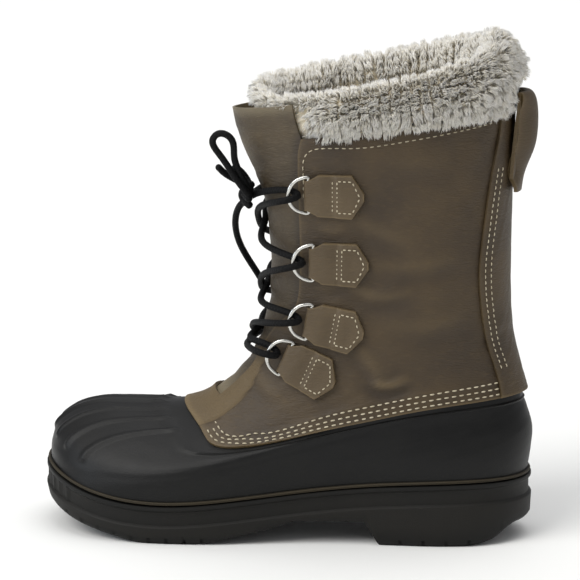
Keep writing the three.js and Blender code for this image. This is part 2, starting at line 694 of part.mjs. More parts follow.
// Fleece cuff: a fat ring standing in the collar and rolled over it, with locks fused on.
function fleeceCuff() {
  const outline = [
    { row: 8.62, out: -5 }, { row: 8.97, out: -5 },
    { row: 9.025, out: -5, over: 7 }, { row: 9.03, out: -5, over: 13 },
    { row: 9.25, out: -5, over: 15.5 }, { row: 9.55, out: -5, over: 14 }, { row: 9.8, out: -6, over: 10 },
    { row: 9.96, out: -8, over: 5 }, { row: 9.92, out: -12 }, { row: 9.6, out: -15 }, { row: 9.1, out: -15 },
    { row: 8.62, out: -12 },
  ];
  const fromBack = (angle) => Math.abs(angle > Math.PI ? 2 * Math.PI - angle : angle);
  const behindThroat = (angle) => 1 - smooth(1.8, 2.12, fromBack(angle));
  const bulgeAt = (angle) => behindThroat(angle) * (1 - 0.62 * bell(fromBack(angle), 0, 0.34));
  const sunk = (angle, row) =>
    outerDrop * smooth(9.1, 9.8, row) * Math.sqrt(Math.max(0, Math.sin(angle)));
  const rings = outline.map(({ row, out, over = 0 }) => allAngles.map((angle) => {
    const high = smooth(9.3, 9.55, row);
    const bulge = bulgeAt(angle) * (1 - high) + behindThroat(angle) * high;
    const lump = 0.8 * Math.sin(angle * 9 + row * 7) + 0.6 * Math.sin(angle * 17 - row * 11);
    const wave = over ? lump * bulge : 0;
    const point = skinPoint(angle, row, out + (bulge * over * pileDepth) / 10 + wave);
    return point.setZ(point.z - sunk(angle, row));
  }));
  const n = rings.length;
  const faces = [];
  const at = (j, i) => (j % n) * columns + (i % columns);
  for (let j = 0; j < n; j++) {
    for (let i = 0; i < columns; i++) {
      faces.push([at(j, i), at(j, i + 1), at(j + 1, i + 1)], [at(j, i), at(j + 1, i + 1), at(j + 1, i)]);
    }
  }
  let cuff = solidFrom(rings.flat(), faces);
  const tiers = [
    { row: 9.62, out: 7.5, fall: -0.3, reach: 4.5 },
    { row: 9.26, out: 8.5, fall: -0.25, reach: 2 },
  ];
  tiers.forEach((tier, t) => {
    for (let k = 0; k < locksAround; k++) {
      const angle = ((k + t * 0.5) * 2 * Math.PI) / locksAround + 0.05 * Math.sin(k * 12.9 + t);
      const bulge = bulgeAt(angle);
      if (bulge < 0.7) continue;
      const size = 1 + 0.22 * Math.sin(k * 7.7 + t * 3);
      const root = skinPoint(angle, tier.row, tier.out - 3);
      const swing = angle + 0.05 * Math.sin(k * 5.3 + t);
      const tip = skinPoint(swing, tier.row + tier.fall * size, tier.out + tier.reach);
      [root, tip].forEach((point) => point.setZ(point.z - sunk(angle, tier.row)));
      cuff = cuff.add(lock(root, tip, 3.6 * size, lastNormal(angle, tier.row)));
    }
  });
  return cuff;
}

// One lock of fleece: a flattened cone that curls at its tip.
function lock(root, tip, radius, outward) {
  const along = tip.clone().sub(root);
  const across = along.clone().cross(outward).normalize();
  const thick = across.clone().cross(along).normalize();
  const sides = 4;
  const points = [];
  const shape = [[-0.25, 0.8], [0.45, 1]];
  for (const [place, width] of shape) {
    for (let k = 0; k < sides; k++) {
      const turn = (2 * Math.PI * k) / sides;
      points.push(root.clone().addScaledVector(along, place)
        .addScaledVector(across, radius * width * Math.cos(turn))
        .addScaledVector(thick, radius * 0.6 * width * Math.sin(turn)));
    }
  }
  points.push(root.clone().addScaledVector(along, -0.25), tip);
  const faces = [];
  for (let k = 0; k < sides; k++) {
    const [a, b] = [k, (k + 1) % sides];
    faces.push([a, b, b + sides], [a, b + sides, a + sides]);
    faces.push([2 * sides, b, a], [a + sides, b + sides, 2 * sides + 1]);
  }
  return solidFrom(points, faces);
}

// Pull loop: a strap stitched to the backstay's top, standing over the cuff's back.
function pullLoop() {
  const stayFace = leatherOut + clearance + staySheet;
  const back = (row, out) => skinPoint(0, row, stayFace + clearance + out);
  const foot = back(8.11, 0);
  const [x0, z0] = [foot.x, foot.z];
  const line = [
    [0, 0], [0.9, 12], [2, 24], [3.2, 36], [4, loopRise - 8], [5, loopRise - 2], [7, loopRise + 0.6],
    [loopReach - 1, loopRise - 1], [loopReach + 1, loopRise - 7], [loopReach + 1.6, loopRise - 18],
    [loopReach, 19], [6.4, 8], [3.9, 0], [2.7, -8],
  ];
  const places = line.map(([x, z]) => new THREE.Vector3(x0 + loopStrap / 2 + x, 0, z0 + z));
  const spots = new THREE.CatmullRomCurve3(places).getSpacedPoints(30);
  const outline = (side) => spots.map((p, i) => {
    const [a, b] = [spots[Math.max(i - 1, 0)], spots[Math.min(i + 1, spots.length - 1)]];
    const along = b.clone().sub(a).normalize();
    return [p.x + (side * loopStrap * along.z) / 2, p.z - (side * loopStrap * along.x) / 2];
  });
  const strap = acrossWidth([...outline(1), ...outline(-1).reverse()], loopStrapWidth);
  const [left, right] = [x0 + 0.3, x0 + loopStrap + 2.2];
  const patch = [[left, z0 - 7], [right, z0 - 7], [right, z0 + 3], [left, z0 + 3]];
  return strap.add(acrossWidth(patch, loopStrapWidth));
}

const finishes = {
  rubber: { color: "#17191c", roughness: 0.48, metalness: 0 },
  rubberStripe: { color: "#4b3f2d", roughness: 0.7, metalness: 0 },
  leather: { color: "#5c4c38", roughness: 0.62, metalness: 0 },
  leatherPale: { color: "#6a5a44", roughness: 0.65, metalness: 0 },
  steel: { color: "#c9c8c4", roughness: 0.22, metalness: 1 },
  lace: { color: "#0d0d0e", roughness: 0.85, metalness: 0 },
  felt: { color: "#bdb6a6", roughness: 1, metalness: 0 },
  fleece: { color: "#e9e3d6", roughness: 1, metalness: 0 },
};

// A solid as a named mesh.
function mesh(name, solid, finish) {
  const data = solid.getMesh();
  const geometry = new THREE.BufferGeometry();
  const positions = new Float32Array(data.numVert * 3);
  for (let i = 0; i < data.numVert; i++) {
    positions.set(data.vertProperties.subarray(i * data.numProp, i * data.numProp + 3), i * 3);
  }
  geometry.setAttribute("position", new THREE.BufferAttribute(positions, 3));
  geometry.setIndex(new THREE.BufferAttribute(data.triVerts, 1));
  const made = new THREE.Mesh(geometry.toNonIndexed(), new THREE.MeshStandardMaterial(finishes[finish]));
  made.geometry.computeVertexNormals();
  made.name = name;
  return made;
}

const boot = new THREE.Group();
const add = (name, solid, finish) => boot.add(mesh(name, solid, finish));
add("outsole", outsole(), "rubber");
const { shell: rubberBottom, room: rubberRoom } = rubberShell();
add("rubber_shell", rubberBottom, "rubber");
add("foxing_stripe", stripe(), "rubberStripe");
add("leather_shaft", leatherShaft(), "leather");
add("tongue", tongue(), "leatherPale");
add("backstay", backstay(), "leather");
add("liner", largest(liner().subtract(rubberRoom)), "felt");
add("fleece_cuff", fleeceCuff(), "fleece");
add("pull_loop", pullLoop(), "leather");
const ringFrames = [-1, 1].map((side) => ringStations.map((station) => ringFrame(station, side)));
ringFrames.forEach((list, s) => list.forEach((frame, k) => {
  const name = `${s === 0 ? "outer" : "inner"}_${k + 1}`;
  add(`ring_tab_${name}`, ringTab(frame), "leather");
  add(`d_ring_${name}`, dRing(frame), "steel");
}));

// Knot: short lengths of lace wound over each other in front of the tongue.
const knotAt = skinPoint(Math.PI - 0.22, 8.08, 9);
const knotPoint = (ahead, side, up) => knotAt.clone().add(new THREE.Vector3(-ahead, side, up));
function laceKnot(grown = 0) {
  const thick = laceDiameter * 0.56 + grown;
  const lengths = [
    [[0, -9, -1], [3, -4, 0.5], [4, 0, 1], [3, 4, 0.5], [0, 9, -1]],
    [[0, -3, 6.5], [4.5, -1.5, 3], [5.5, 0, -1], [3, 2, -5.5]],
    [[0, 3, 6.5], [4, 2.5, 2], [3.5, -1, -3], [0.5, -3, -6]],
  ];
  return lengths
    .map((list) => tube(smoothPath(list.map((p) => knotPoint(...p)), 6), thick, 6))
    .reduce((a, b) => a.add(b));
}
const knotSpace = laceKnot(clearance);

// Bow: two loops and two ends from the knot, as places ahead, aside and up of it.
const bowCords = {
  bow_loop_outer: [
    [0, -9, 1], [7, -13, 11], [16, -15, 25], [21, -18, 35], [16, -20, 40],
    [9, -19, 36], [8, -15, 24], [3, -9.5, 10], [0, -5, 3],
  ],
  bow_loop_inner: [
    [3, 4, 3], [7, 9, 7], [12, 18, 11], [14, 29, 13], [10, 37, 8],
    [6, 35, 2], [6, 26, 1], [6, 15, 2], [4, 6, 2],
  ],
  lace_end_outer: [[0, 0, 4], [9, 0, 9], [15, -3, 13], [19, -8, 18]],
  lace_end_inner: [
    [3, 3, -3], [9, 10, -9], [13, 22, -22], [11, 35, -38], [4, 46, -54], [-3, 53, -68],
  ],
};

const crossings = ringFrames.flat().reduce(
  (lace, frame) => lace.subtract(dRing(frame, ringWire + 2 * clearance)),
  laceCrossings(ringFrames, knotAt),
);
const knot = laceKnot();
add("lace_crossings", largest(crossings.subtract(knotSpace)), "lace");
add("lace_knot", knot, "lace");
Object.entries(bowCords).forEach(([name, places]) => {
  add(name, largest(cord(places.map((p) => knotPoint(...p)), 20).subtract(knotSpace)), "lace");
});

// Origin under the middle of the boot without its cords.
const cordNames = ["lace_crossings", "lace_knot", ...Object.keys(bowCords)];
const extent = new THREE.Box3();
boot.children.filter((m) => !cordNames.includes(m.name)).forEach((m) => extent.expandByObject(m));
const centre = extent.getCenter(new THREE.Vector3());
boot.children.forEach((m) => m.geometry.translate(-centre.x, -centre.y, -extent.min.z));
export default boot;
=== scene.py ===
"""A left pac boot, dressed: smooth rubber, creased leather, felt, fleece, laces and stitches.

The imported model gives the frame. Sizes are millimetres until a mesh is made; +X runs from toe to
heel, +Y to the inner side of the foot, +Z up.
"""

import logging
from dataclasses import dataclass, field
from enum import IntEnum

import bpy
import numpy as np
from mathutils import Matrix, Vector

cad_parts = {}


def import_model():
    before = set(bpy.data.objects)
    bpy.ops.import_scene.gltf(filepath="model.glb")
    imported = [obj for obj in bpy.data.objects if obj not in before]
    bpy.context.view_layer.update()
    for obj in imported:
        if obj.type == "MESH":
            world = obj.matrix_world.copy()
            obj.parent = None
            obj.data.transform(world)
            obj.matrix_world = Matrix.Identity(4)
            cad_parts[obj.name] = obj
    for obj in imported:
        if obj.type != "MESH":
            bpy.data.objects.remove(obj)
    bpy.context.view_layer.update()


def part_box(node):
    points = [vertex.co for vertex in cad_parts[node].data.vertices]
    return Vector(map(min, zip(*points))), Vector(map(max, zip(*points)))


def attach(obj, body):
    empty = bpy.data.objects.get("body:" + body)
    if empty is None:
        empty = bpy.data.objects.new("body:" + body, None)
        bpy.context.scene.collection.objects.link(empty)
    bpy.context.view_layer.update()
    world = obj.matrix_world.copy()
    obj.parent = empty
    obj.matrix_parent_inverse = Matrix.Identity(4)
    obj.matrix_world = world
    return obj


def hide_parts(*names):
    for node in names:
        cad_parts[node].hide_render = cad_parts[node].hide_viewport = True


Array = np.ndarray
LOG = logging.getLogger("pac_boot")
MM = 0.001
BODY = "root"
ROW_MM = 26.0  # rise of one section row at the rubber's edge
LEATHER_OUT = 2.3  # outside of the leather, off the last



class Side(IntEnum):
    """A side of the boot; the outer one faces the camera."""

    OUTER = -1
    INNER = 1


def through_points(at: list[float], values: list, x: Array) -> Array:
    """Cubic through values at uneven places, flat beyond both ends.

    Args:
        at: the places.
        values: a number or an array for each place.
        x: where to read.

    Returns:
        Hermite blend of the two nearest values, with central slopes and flat ends.
    """
    places = np.array(at, float)
    last = len(places) - 1
    x = np.clip(np.asarray(x, float), places[0], places[-1])
    known = np.stack([np.asarray(v, float) + 0 * x for v in values])
    slopes = np.zeros_like(known)
    for i in range(1, last):
        slopes[i] = (known[i + 1] - known[i - 1]) / (places[i + 1] - places[i - 1])
    k = np.clip(np.searchsorted(places, x, side="right") - 1, 0, last - 1)

    def read(table: Array, index: Array) -> Array:
        """Value of each point's own place."""
        return np.take_along_axis(table, index[None], 0)[0]

    wide = places[k + 1] - places[k]
    s = (x - places[k]) / wide
    blend = s * s * (3 - 2 * s)
    bend = read(slopes, k) * s * (1 - s) ** 2 + read(slopes, k + 1) * s * s * (s - 1)
    return read(known, k) * (1 - blend) + read(known, k + 1) * blend + wide * bend


def smooth(low: float, high: float, x: Array) -> Array:
    """Smoothstep from 0 at low to 1 at high."""
    t = np.clip((np.asarray(x, float) - low) / (high - low), 0, 1)
    return t * t * (3 - 2 * t)


def bell(x: Array, middle: float, spread: float) -> Array:
    """Gaussian hump of height 1."""
    return np.exp(-(((np.asarray(x, float) - middle) / spread) ** 2))


def unit(v: Array) -> Array:
    """Vectors at length 1."""
    return v / np.maximum(np.linalg.norm(v, axis=-1, keepdims=True), 1e-9)


def ripple(*phases: Array) -> Array:
    """Even, seedless unevenness: a sum of sines of sums of the phases, about -1 to 1."""
    total = np.zeros_like(phases[0] + 0.0)
    for i, share in enumerate((1.0, 0.6, 0.4)):
        turned = sum(p * (1.0 + 0.73 * i) * (1 + 0.31 * j) for j, p in enumerate(phases))
        total = total + share * np.sin(turned + 1.7 * i + 2.1 * np.sin(0.37 * turned + i))
    return total / 2.0


@dataclass
class Last:
    """The last's surface: section rows of the foot and the shaft, read at an angle and a row."""

    sole_length: float = 300.0
    ball_width: float = 108.0
    toe_box_height: float = 78.0
    counter_height: float = 91.0
    heel_height: float = 40.0
    shaft_height: float = 265.0
    shaft_depth: float = 156.0
    collar_width: float = 95.0
    cuff_rise: float = 48.0
    toe_swing: float = 9.0
    shift: Array = field(default_factory=lambda: np.zeros(3))
    # back, front, back z, front z, dip, then half widths at heel, waist, ball, toe, and roundness
    foot: tuple = (
        (1.015, 1.0, 0.0, 0.0, 0.205, 0.8, 0.77, 0.99, 1.06, 6.2),
        (1.03, 0.995, 0.3, 0.33, 0.22, 0.83, 0.83, 1.0, 1.03, 5.6),
        (1.034, 0.95, 0.55, 0.68, 0.28, 0.81, 0.84, 0.985, 0.99, 5.0),
        (1.015, 0.79, 0.76, 0.94, 0.31, 0.78, 0.825, 0.95, 0.95, 4.2),
        (0.985, 0.42, 1.0, 1.0, 0.205, 0.755, 0.805, 0.86, 0.93, 3.5),
    )
    shaft: tuple = (
        (0.948, 1.13, 0.11, 0.09, 0.14, 0.83, 0.875, 0.885, 0.95, 3.1),
        (0.915, 0.985, 0.245, 0.225, 0.06, 0.83, 0.87, 0.865, 0.87, 2.9),
        (0.905, 0.925, 0.445, 0.43, 0.01, 0.89, 0.905, 0.9, 0.89, 2.8),
        (0.908, 0.947, 0.735, 0.7, 0.0, 0.95, 0.955, 0.955, 0.95, 2.7),
        (0.915, 1.0, 1.0, 0.893, 0.0, 1.0, 1.0, 1.0, 1.0, 2.6),
    )

    def __post_init__(self) -> None:
        """Work out the section rows in millimetres, straight on beyond both ends."""
        half, dip = self.sole_length / 2, -self.toe_box_height
        rows = []
        for s in self.foot:
            back_z = self.heel_height + s[2] * (self.counter_height - self.heel_height)
            front_z = self.heel_height + s[3] * (self.toe_box_height - self.heel_height)
            widths = [w * self.ball_width / 2 for w in s[5:9]]
            rows.append([s[0] * half, -s[1] * half, back_z, front_z, s[4] * dip, *widths, s[9]])
        for s in self.shaft:
            back_z = self.counter_height + s[2] * (self.shaft_height - self.counter_height)
            front_z = self.toe_box_height + s[3] * (self.shaft_height - self.toe_box_height)
            widths = [w * self.collar_width / 2 for w in s[5:9]]
            front = s[0] * half - s[1] * self.shaft_depth
            rows.append([s[0] * half, front, back_z, front_z, s[4] * dip, *widths, s[9]])
        crown = list(rows[-1])
        lean = self.cuff_rise / (self.shaft_height - self.counter_height)
        crown[0] += lean * 8
        crown[1] -= lean * 24
        crown[2] += self.cuff_rise
        crown[3] += self.cuff_rise * 0.72
        table = np.array([*rows, crown])
        self.table = np.vstack([2 * table[0] - table[1], table, 2 * table[-1] - table[-2]])

    def point(self, angle: Array, row: Array) -> Array:
        """A point of the last.

        Args:
            angle: 0 at the back, by the outer side to pi at the front.
            row: section row, 0 at the feather line, 4 at the rubber's edge, 9 at the collar.

        Returns:
            Points: chord from back to front plus a dip, and the half width from four stations.
        """
        angle, row = np.broadcast_arrays(np.asarray(angle, float), np.asarray(row, float))
        k = np.clip(np.floor(row).astype(int), 0, len(self.table) - 4)
        f = (row - k)[..., None]
        p0, p1, p2, p3 = (self.table[k + i] for i in range(4))
        m1, m2 = (p2 - p0) / 2, (p3 - p1) / 2
        r = (2 * f**3 - 3 * f**2 + 1) * p1 + (f**3 - 2 * f**2 + f) * m1
        r = r + (3 * f**2 - 2 * f**3) * p2 + (f**3 - f**2) * m2
        along = (1 - np.cos(angle)) / 2
        x = r[..., 0] + (r[..., 1] - r[..., 0]) * along
        z = r[..., 2] + (r[..., 3] - r[..., 2]) * along + r[..., 4] * np.sin(np.pi * along**2.3)
        end = np.sqrt(np.maximum(0, 1 - np.abs(np.cos(angle)) ** r[..., 9]))
        side = np.where(np.sin(angle) >= 0, -1.0, 1.0)
        middle = through_points([0, 0.3, 0.5, 0.7, 0.88, 1], [0, -0.06, -0.45, -0.28, 0.45, 1],
            along)
        swing = self.toe_swing * middle * (1 - smooth(2.5, 7, row))
        width = through_points([0.15, 0.45, 0.7, 0.88], [r[..., i] for i in (5, 6, 7, 8)], along)
        return np.stack([x, swing + side * end * width, z], -1) + self.shift

    def normal(self, angle: Array, row: Array) -> Array:
        """The outward direction, from small steps round and up."""
        angle, row = np.asarray(angle, float), np.asarray(row, float)
        around = self.point(angle + 0.01, row) - self.point(angle - 0.01, row)
        up = self.point(angle, row + 0.01) - self.point(angle, row - 0.01)
        return unit(np.cross(up, around))

    def skin(self, angle: Array, row: Array, out: Array | float) -> Array:
        """Points at a distance outside the last."""
        normal = self.normal(angle, row)
        reach = np.broadcast_to(np.asarray(out, float), normal.shape[:-1])
        return self.point(angle, row) + normal * reach[..., None]

    def settle(self, box: tuple) -> None:
        """Take the frame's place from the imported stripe's box: a ring of 32 points on the last."""
        angle = np.linspace(0, 2 * np.pi, 32, endpoint=False)
        reach = self.point(angle, 0.35)[:, 2] - self.point(angle, 0.0)[:, 2]
        rings = np.concatenate([self.skin(angle, 0.35 * v / reach, 1.9) for v in (0.4, 2.2)])
        middle = (rings.min(0) + rings.max(0)) / 2
        self.shift = (np.array(box[0]) + np.array(box[1])) / 2 / MM - middle
        self.shift[2] = 0.0

    def edge_row(self, angle: Array) -> Array:
        """Section row of the rubber's top edge, dipped at each side of the vamp."""
        return 4 - 0.4 * bell((1 - np.cos(angle)) / 2, 0.775, 0.12)

    def row_from_edge(self, angle: Array, distance: Array | float) -> Array:
        """Section row at a distance above the rubber's edge, measured on the surface."""
        angle = np.asarray(angle, float)
        edge = self.edge_row(angle)
        ahead = self.point(angle + 0.02, self.edge_row(angle + 0.02))
        along = unit(ahead - self.point(angle - 0.02, self.edge_row(angle - 0.02)))
        up = (self.point(angle, edge) - self.point(angle, edge - 0.1)) * 10
        rise = np.linalg.norm(np.cross(up, along), axis=-1)
        return edge + distance / np.maximum(rise, 22)

    def nearest(self, spots: Array, angle: Array, row: Array) -> tuple[Array, Array]:
        """Angle and row of the last's nearest points, by five Newton steps from a start."""
        a = np.broadcast_to(np.asarray(angle, float), spots.shape[:-1]).copy()
        v = np.broadcast_to(np.asarray(row, float), spots.shape[:-1]).copy()
        for _ in range(5):
            base = self.point(a, v)
            around = (self.point(a + 0.02, v) - base) / 0.02
            up = (self.point(a, v + 0.02) - base) / 0.02
            off = spots - base
            rr, uu, ru = (around**2).sum(-1), (up**2).sum(-1), (around * up).sum(-1)
            ro, uo = (around * off).sum(-1), (up * off).sum(-1)
            area = rr * uu - ru * ru
            a += (ro * uu - uo * ru) / area
            v += (uo * rr - ro * ru) / area
        return a, v



class MeshDraft:
    """Collects grids of points, in millimetres, into one mesh with its own UV map."""

    def __init__(self) -> None:
        """Start empty."""
        self.points: list[Array] = []
        self.faces: list[Array] = []
        self.uvs: list[Array] = []
        self.values: dict[str, list[Array]] = {}
        self.count = 0

    def add(self, points: Array, faces: Array, uv: Array, **values: Array) -> None:
        """Add points, quads (a triangle repeats its last corner) and each corner's UV."""
        size = len(points)
        for name in set(self.values) | set(values):
            known = self.values.setdefault(name, [np.zeros(self.count)])
            known.append(np.broadcast_to(values.get(name, 0.0), (size,)).astype(float))
        self.points.append(points)
        self.faces.append(faces + self.count)
        self.uvs.append(uv)
        self.count += size

    def grid(self, points: Array, round_u: bool = False, round_v: bool = False,
             uv: Array | None = None, **values: Array) -> None:
        """Add a lattice points[v, u] with quads between neighbours.

        Args:
            points: the lattice.
            round_u: the last column meets the first.
            round_v: the last row meets the first.
            uv: millimetres along u and v at each point; measured on the lattice when not given.
            values: attributes at each point.
        """
        high, wide = points.shape[:2]
        if uv is None:
            uv = measured_uv(points, round_u)
        j = np.arange(high if round_v else high - 1)[:, None]
        i = np.arange(wide if round_u else wide - 1)[None, :]
        corners = [(j, i), (j, i + 1), (j + 1, i + 1), (j + 1, i)]
        faces = np.stack([(a % high) * wide + b % wide for a, b in corners], -1).reshape(-1, 4)
        texel = np.stack([uv[np.minimum(a, uv.shape[0] - 1), np.minimum(b, uv.shape[1] - 1)]
                          for a, b in corners], -2).reshape(-1, 4, 2)
        flat = {k: np.broadcast_to(v, (high, wide)).reshape(-1) for k, v in values.items()}
        self.add(points.reshape(-1, 3), faces, texel, **flat)

    def lid(self, ring: Array, steps: int, turned: bool, **values: float) -> None:
        """Close a ring with a patch between its two halves.

        Args:
            ring: the points.
            steps: rows of the patch.
            turned: whether the patch faces the other way.
            values: attributes of the patch.
        """
        half = len(ring) // 2
        one, two = ring[: half + 1], np.concatenate([ring[:1], ring[half:][::-1]])
        share = np.linspace(0, 1, steps)[:, None, None]
        patch = one[None] * (1 - share) + two[None] * share
        self.grid(patch[::-1] if turned else patch, **values)

    def make(self, name: str, material: bpy.types.Material, crisp: float = 40.0,
             closed: bool = True) -> bpy.types.Object:
        """Build the object: corners that meet are merged, faces are turned outwards.

        Args:
            name: the piece's name.
            material: its finish.
            crisp: angle in degrees past which an edge stays sharp.
            closed: whether the faces enclose a volume, so that they can be turned outwards.

        Returns:
            The object, riding on the boot's body.
        """
        points = np.concatenate(self.points)
        faces = np.concatenate(self.faces)
        uv = np.concatenate(self.uvs)
        values = {k: np.concatenate(v) for k, v in self.values.items()}
        key = np.round(points, 4)
        _, first, merged = np.unique(key, axis=0, return_index=True, return_inverse=True)
        points, faces = points[first], merged.reshape(-1)[faces]
        values = {k: v[first] for k, v in values.items()}
        a, b, c, d = faces.T
        equal = np.stack([a == b, b == c, c == d, d == a], 1)
        order = np.array([[1, 2, 3, 3], [0, 2, 3, 3], [0, 1, 2, 2], [0, 1, 2, 2]])
        triangle = equal.sum(1) == 1
        pick = np.where(triangle[:, None], order[equal.argmax(1)], np.arange(4))
        faces = np.take_along_axis(faces, pick, 1)
        uv = np.take_along_axis(uv, pick[..., None], 1)
        good = (equal.sum(1) < 2) & (a != c) & (b != d)
        faces, uv, triangle = faces[good], uv[good], triangle[good]
        a, b, c, d = (points[faces[:, i]] for i in range(4))
        volume = (a * np.cross(b, c)).sum() + (a * np.cross(c, d)).sum()
        if closed and volume < 0:
            turned = np.where(triangle[:, None], [1, 0, 2, 2], [3, 2, 1, 0])
            faces = np.take_along_axis(faces, turned, 1)
            uv = np.take_along_axis(uv, turned[..., None], 1)
        keep = np.ones(faces.shape, bool)
        keep[triangle, 3] = False
        mesh = bpy.data.meshes.new(name)
        mesh.vertices.add(len(points))
        mesh.vertices.foreach_set("co", (points * MM).ravel())
        loops = faces[keep]
        mesh.loops.add(len(loops))
        mesh.loops.foreach_set("vertex_index", loops.astype(np.int32))
        sizes = keep.sum(1)
        mesh.polygons.add(len(faces))
        mesh.polygons.foreach_set("loop_start", np.r_[0, np.cumsum(sizes)[:-1]].astype(np.int32))
        layer = mesh.uv_layers.new(name="UVMap")
        layer.uv.foreach_set("vector", (uv[keep] * MM).astype(np.float32).ravel())
        for key_name, list_ in values.items():
            attribute = mesh.attributes.new(key_name, "FLOAT", "POINT")
            attribute.data.foreach_set("value", list_.astype(np.float32))
        mesh.update(calc_edges=True)
        mesh.validate()
        mesh.polygons.foreach_set("use_smooth", np.ones(len(mesh.polygons), bool))
        mesh.set_sharp_from_angle(angle=np.radians(crisp))
        return placed(name, mesh, material)


def placed(name: str, mesh: bpy.types.Mesh, material: bpy.types.Material) -> bpy.types.Object:
    """An object for a mesh, dressed and riding on the boot's body."""
    mesh.materials.append(material)
    made = bpy.data.objects.new(name, mesh)
    bpy.context.collection.objects.link(made)
    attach(made, BODY)
    LOG.info("%s: %d faces", name, len(mesh.polygons))
    return made


def measured_uv(points: Array, round_u: bool) -> Array:
    """Millimetres run along a lattice's rows and columns, as UV."""
    extended = np.concatenate([points, points[:, :1]], 1) if round_u else points
    across = np.linalg.norm(np.diff(extended, axis=1), axis=-1).mean(0)
    along = np.linalg.norm(np.diff(extended, axis=0), axis=-1).mean(1)
    u = np.r_[0, np.cumsum(across)]
    v = np.r_[0, np.cumsum(along), along.sum() + along.mean()]
    return np.stack(np.meshgrid(u, v), -1)


def wall(draft: MeshDraft, outer: Array, inner: Array, ring: bool, **values: Array) -> None:
    """Add a wall between an outer and an inner lattice, with its edges closed.

    Args:
        draft: where it goes.
        outer: the outside lattice.
        inner: the inside lattice.
        ring: whether the columns close on themselves.
        values: attributes of the outside, shared by the inside.
    """
    loop = np.concatenate([outer, inner[::-1]], 0)
    both = {k: np.concatenate([np.broadcast_to(v, outer.shape[:2]),
                               np.broadcast_to(v, outer.shape[:2])[::-1]], 0)
            for k, v in values.items()}
    draft.grid(loop, round_u=ring, round_v=True, **both)
    if ring:
        return
    for column, turned in ((0, True), (-1, False)):
        side = np.stack([outer[:, column], inner[:, column]], 1)
        edge = {k: np.stack([v[: len(outer), column]] * 2, 1) for k, v in both.items()}
        draft.grid(side[:, ::-1] if turned else side, **edge)


def smooth_path(points: list | Array, count: int, closed: bool = False) -> Array:
    """Evenly spaced points on a natural cubic spline.

    Args:
        points: places to pass through.
        count: how many points to return.
        closed: whether the last place leads back to the first.

    Returns:
        The points: second differences solve a banded system, lengths follow chords.
    """
    spots = np.array(points, float)
    if closed:
        spots = np.concatenate([spots[-3:], spots, spots[:4]])
    knots = np.r_[0, np.cumsum(np.linalg.norm(np.diff(spots, axis=0), axis=1) ** 0.5)]
    size, wide = len(spots), np.diff(knots)
    system, right = np.eye(size), np.zeros_like(spots)
    inside = np.arange(1, size - 1)
    system[inside, inside - 1] = wide[:-1]
    system[inside, inside] = 2 * (wide[:-1] + wide[1:])
    system[inside, inside + 1] = wide[1:]
    steps = np.diff(spots, axis=0) / wide[:, None]
    right[1:-1] = 6 * (steps[1:] - steps[:-1])
    second = np.linalg.solve(system, right)
    low, high = (knots[3], knots[-4]) if closed else (knots[0], knots[-1])
    fine = np.linspace(low, high, 40 * size)
    k = np.clip(np.searchsorted(knots, fine, side="right") - 1, 0, size - 2)
    h, b = wide[k][:, None], ((fine - knots[k]) / wide[k])[:, None]
    a = 1 - b
    curve = a * spots[k] + b * spots[k + 1]
    curve += ((a**3 - a) * second[k] + (b**3 - b) * second[k + 1]) * h**2 / 6
    run = np.r_[0, np.cumsum(np.linalg.norm(np.diff(curve, axis=0), axis=1))]
    want = np.linspace(0, run[-1], count + 1)[:-1] if closed else np.linspace(0, run[-1], count)
    return np.stack([np.interp(want, run, curve[:, i]) for i in range(3)], -1)


def path_frames(path: Array, closed: bool = False) -> tuple[Array, Array, Array]:
    """Tangent and two sides at each point of a path, carried along without twist."""
    if closed:
        tangent = unit(np.roll(path, -1, 0) - np.roll(path, 1, 0))
    else:
        tangent = unit(np.gradient(path, axis=0))
    side = np.cross([0.0, 0.0, 1.0], tangent[0])
    if np.linalg.norm(side) < 0.1:
        side = np.cross([0.0, 1.0, 0.0], tangent[0])
    sides = []
    for along in tangent:
        side = side - along * (side @ along)
        side = side / np.linalg.norm(side)
        sides.append(side)
    across = np.array(sides)
    return tangent, across, np.cross(tangent, across)


def tube(draft: MeshDraft, path: Array, radius: Array | float, sides: int = 12,
         closed: bool = False, **values: float) -> None:
    """Add a round tube along a path, with domed ends unless the path is closed."""
    _, across, other = path_frames(path, closed)
    turn = np.linspace(0, 2 * np.pi, sides, endpoint=False)
    radii = np.broadcast_to(np.asarray(radius, float), (len(path),))
    if not closed:
        tangent = unit(np.gradient(path, axis=0))
        dome = np.array([1.0, 0.8, 0.45, 0.001])
        lift = np.sqrt(np.maximum(0, 1 - dome**2)) * radii[0] * 0.7
        head = path[0] - tangent[0] * lift[::-1, None]
        tail = path[-1] + tangent[-1] * lift[:, None]
        path = np.concatenate([head[:-1], path, tail[1:]])
        across = np.concatenate([[across[0]] * 3, across, [across[-1]] * 3])
        other = np.concatenate([[other[0]] * 3, other, [other[-1]] * 3])
        radii = np.concatenate([radii[0] * dome[::-1][:-1], radii, radii[-1] * dome[1:]])
    ring = across[:, None] * np.cos(turn)[None, :, None] + other[:, None] * np.sin(turn)[None, :,
        None]
    points = path[:, None] + ring * radii[:, None, None]
    run = np.r_[0, np.cumsum(np.linalg.norm(np.diff(path, axis=0), axis=1))]
    around = np.linspace(0, 2 * np.pi * float(radii.max()), sides + 1)
    if closed:
        run = np.r_[run, run[-1] + np.linalg.norm(path[0] - path[-1])]
        uv = np.stack(np.meshgrid(around, run), -1)
        draft.grid(points, round_u=True, round_v=True, uv=uv, **values)
        return
    draft.grid(points, round_u=True, uv=np.stack(np.meshgrid(around, run), -1), **values)
    for end, turned in ((0, False), (-1, True)):
        cap = np.stack([points[end], np.broadcast_to(path[end], points[end].shape)])
        draft.grid(cap[::-1] if turned else cap, round_u=True, **values)


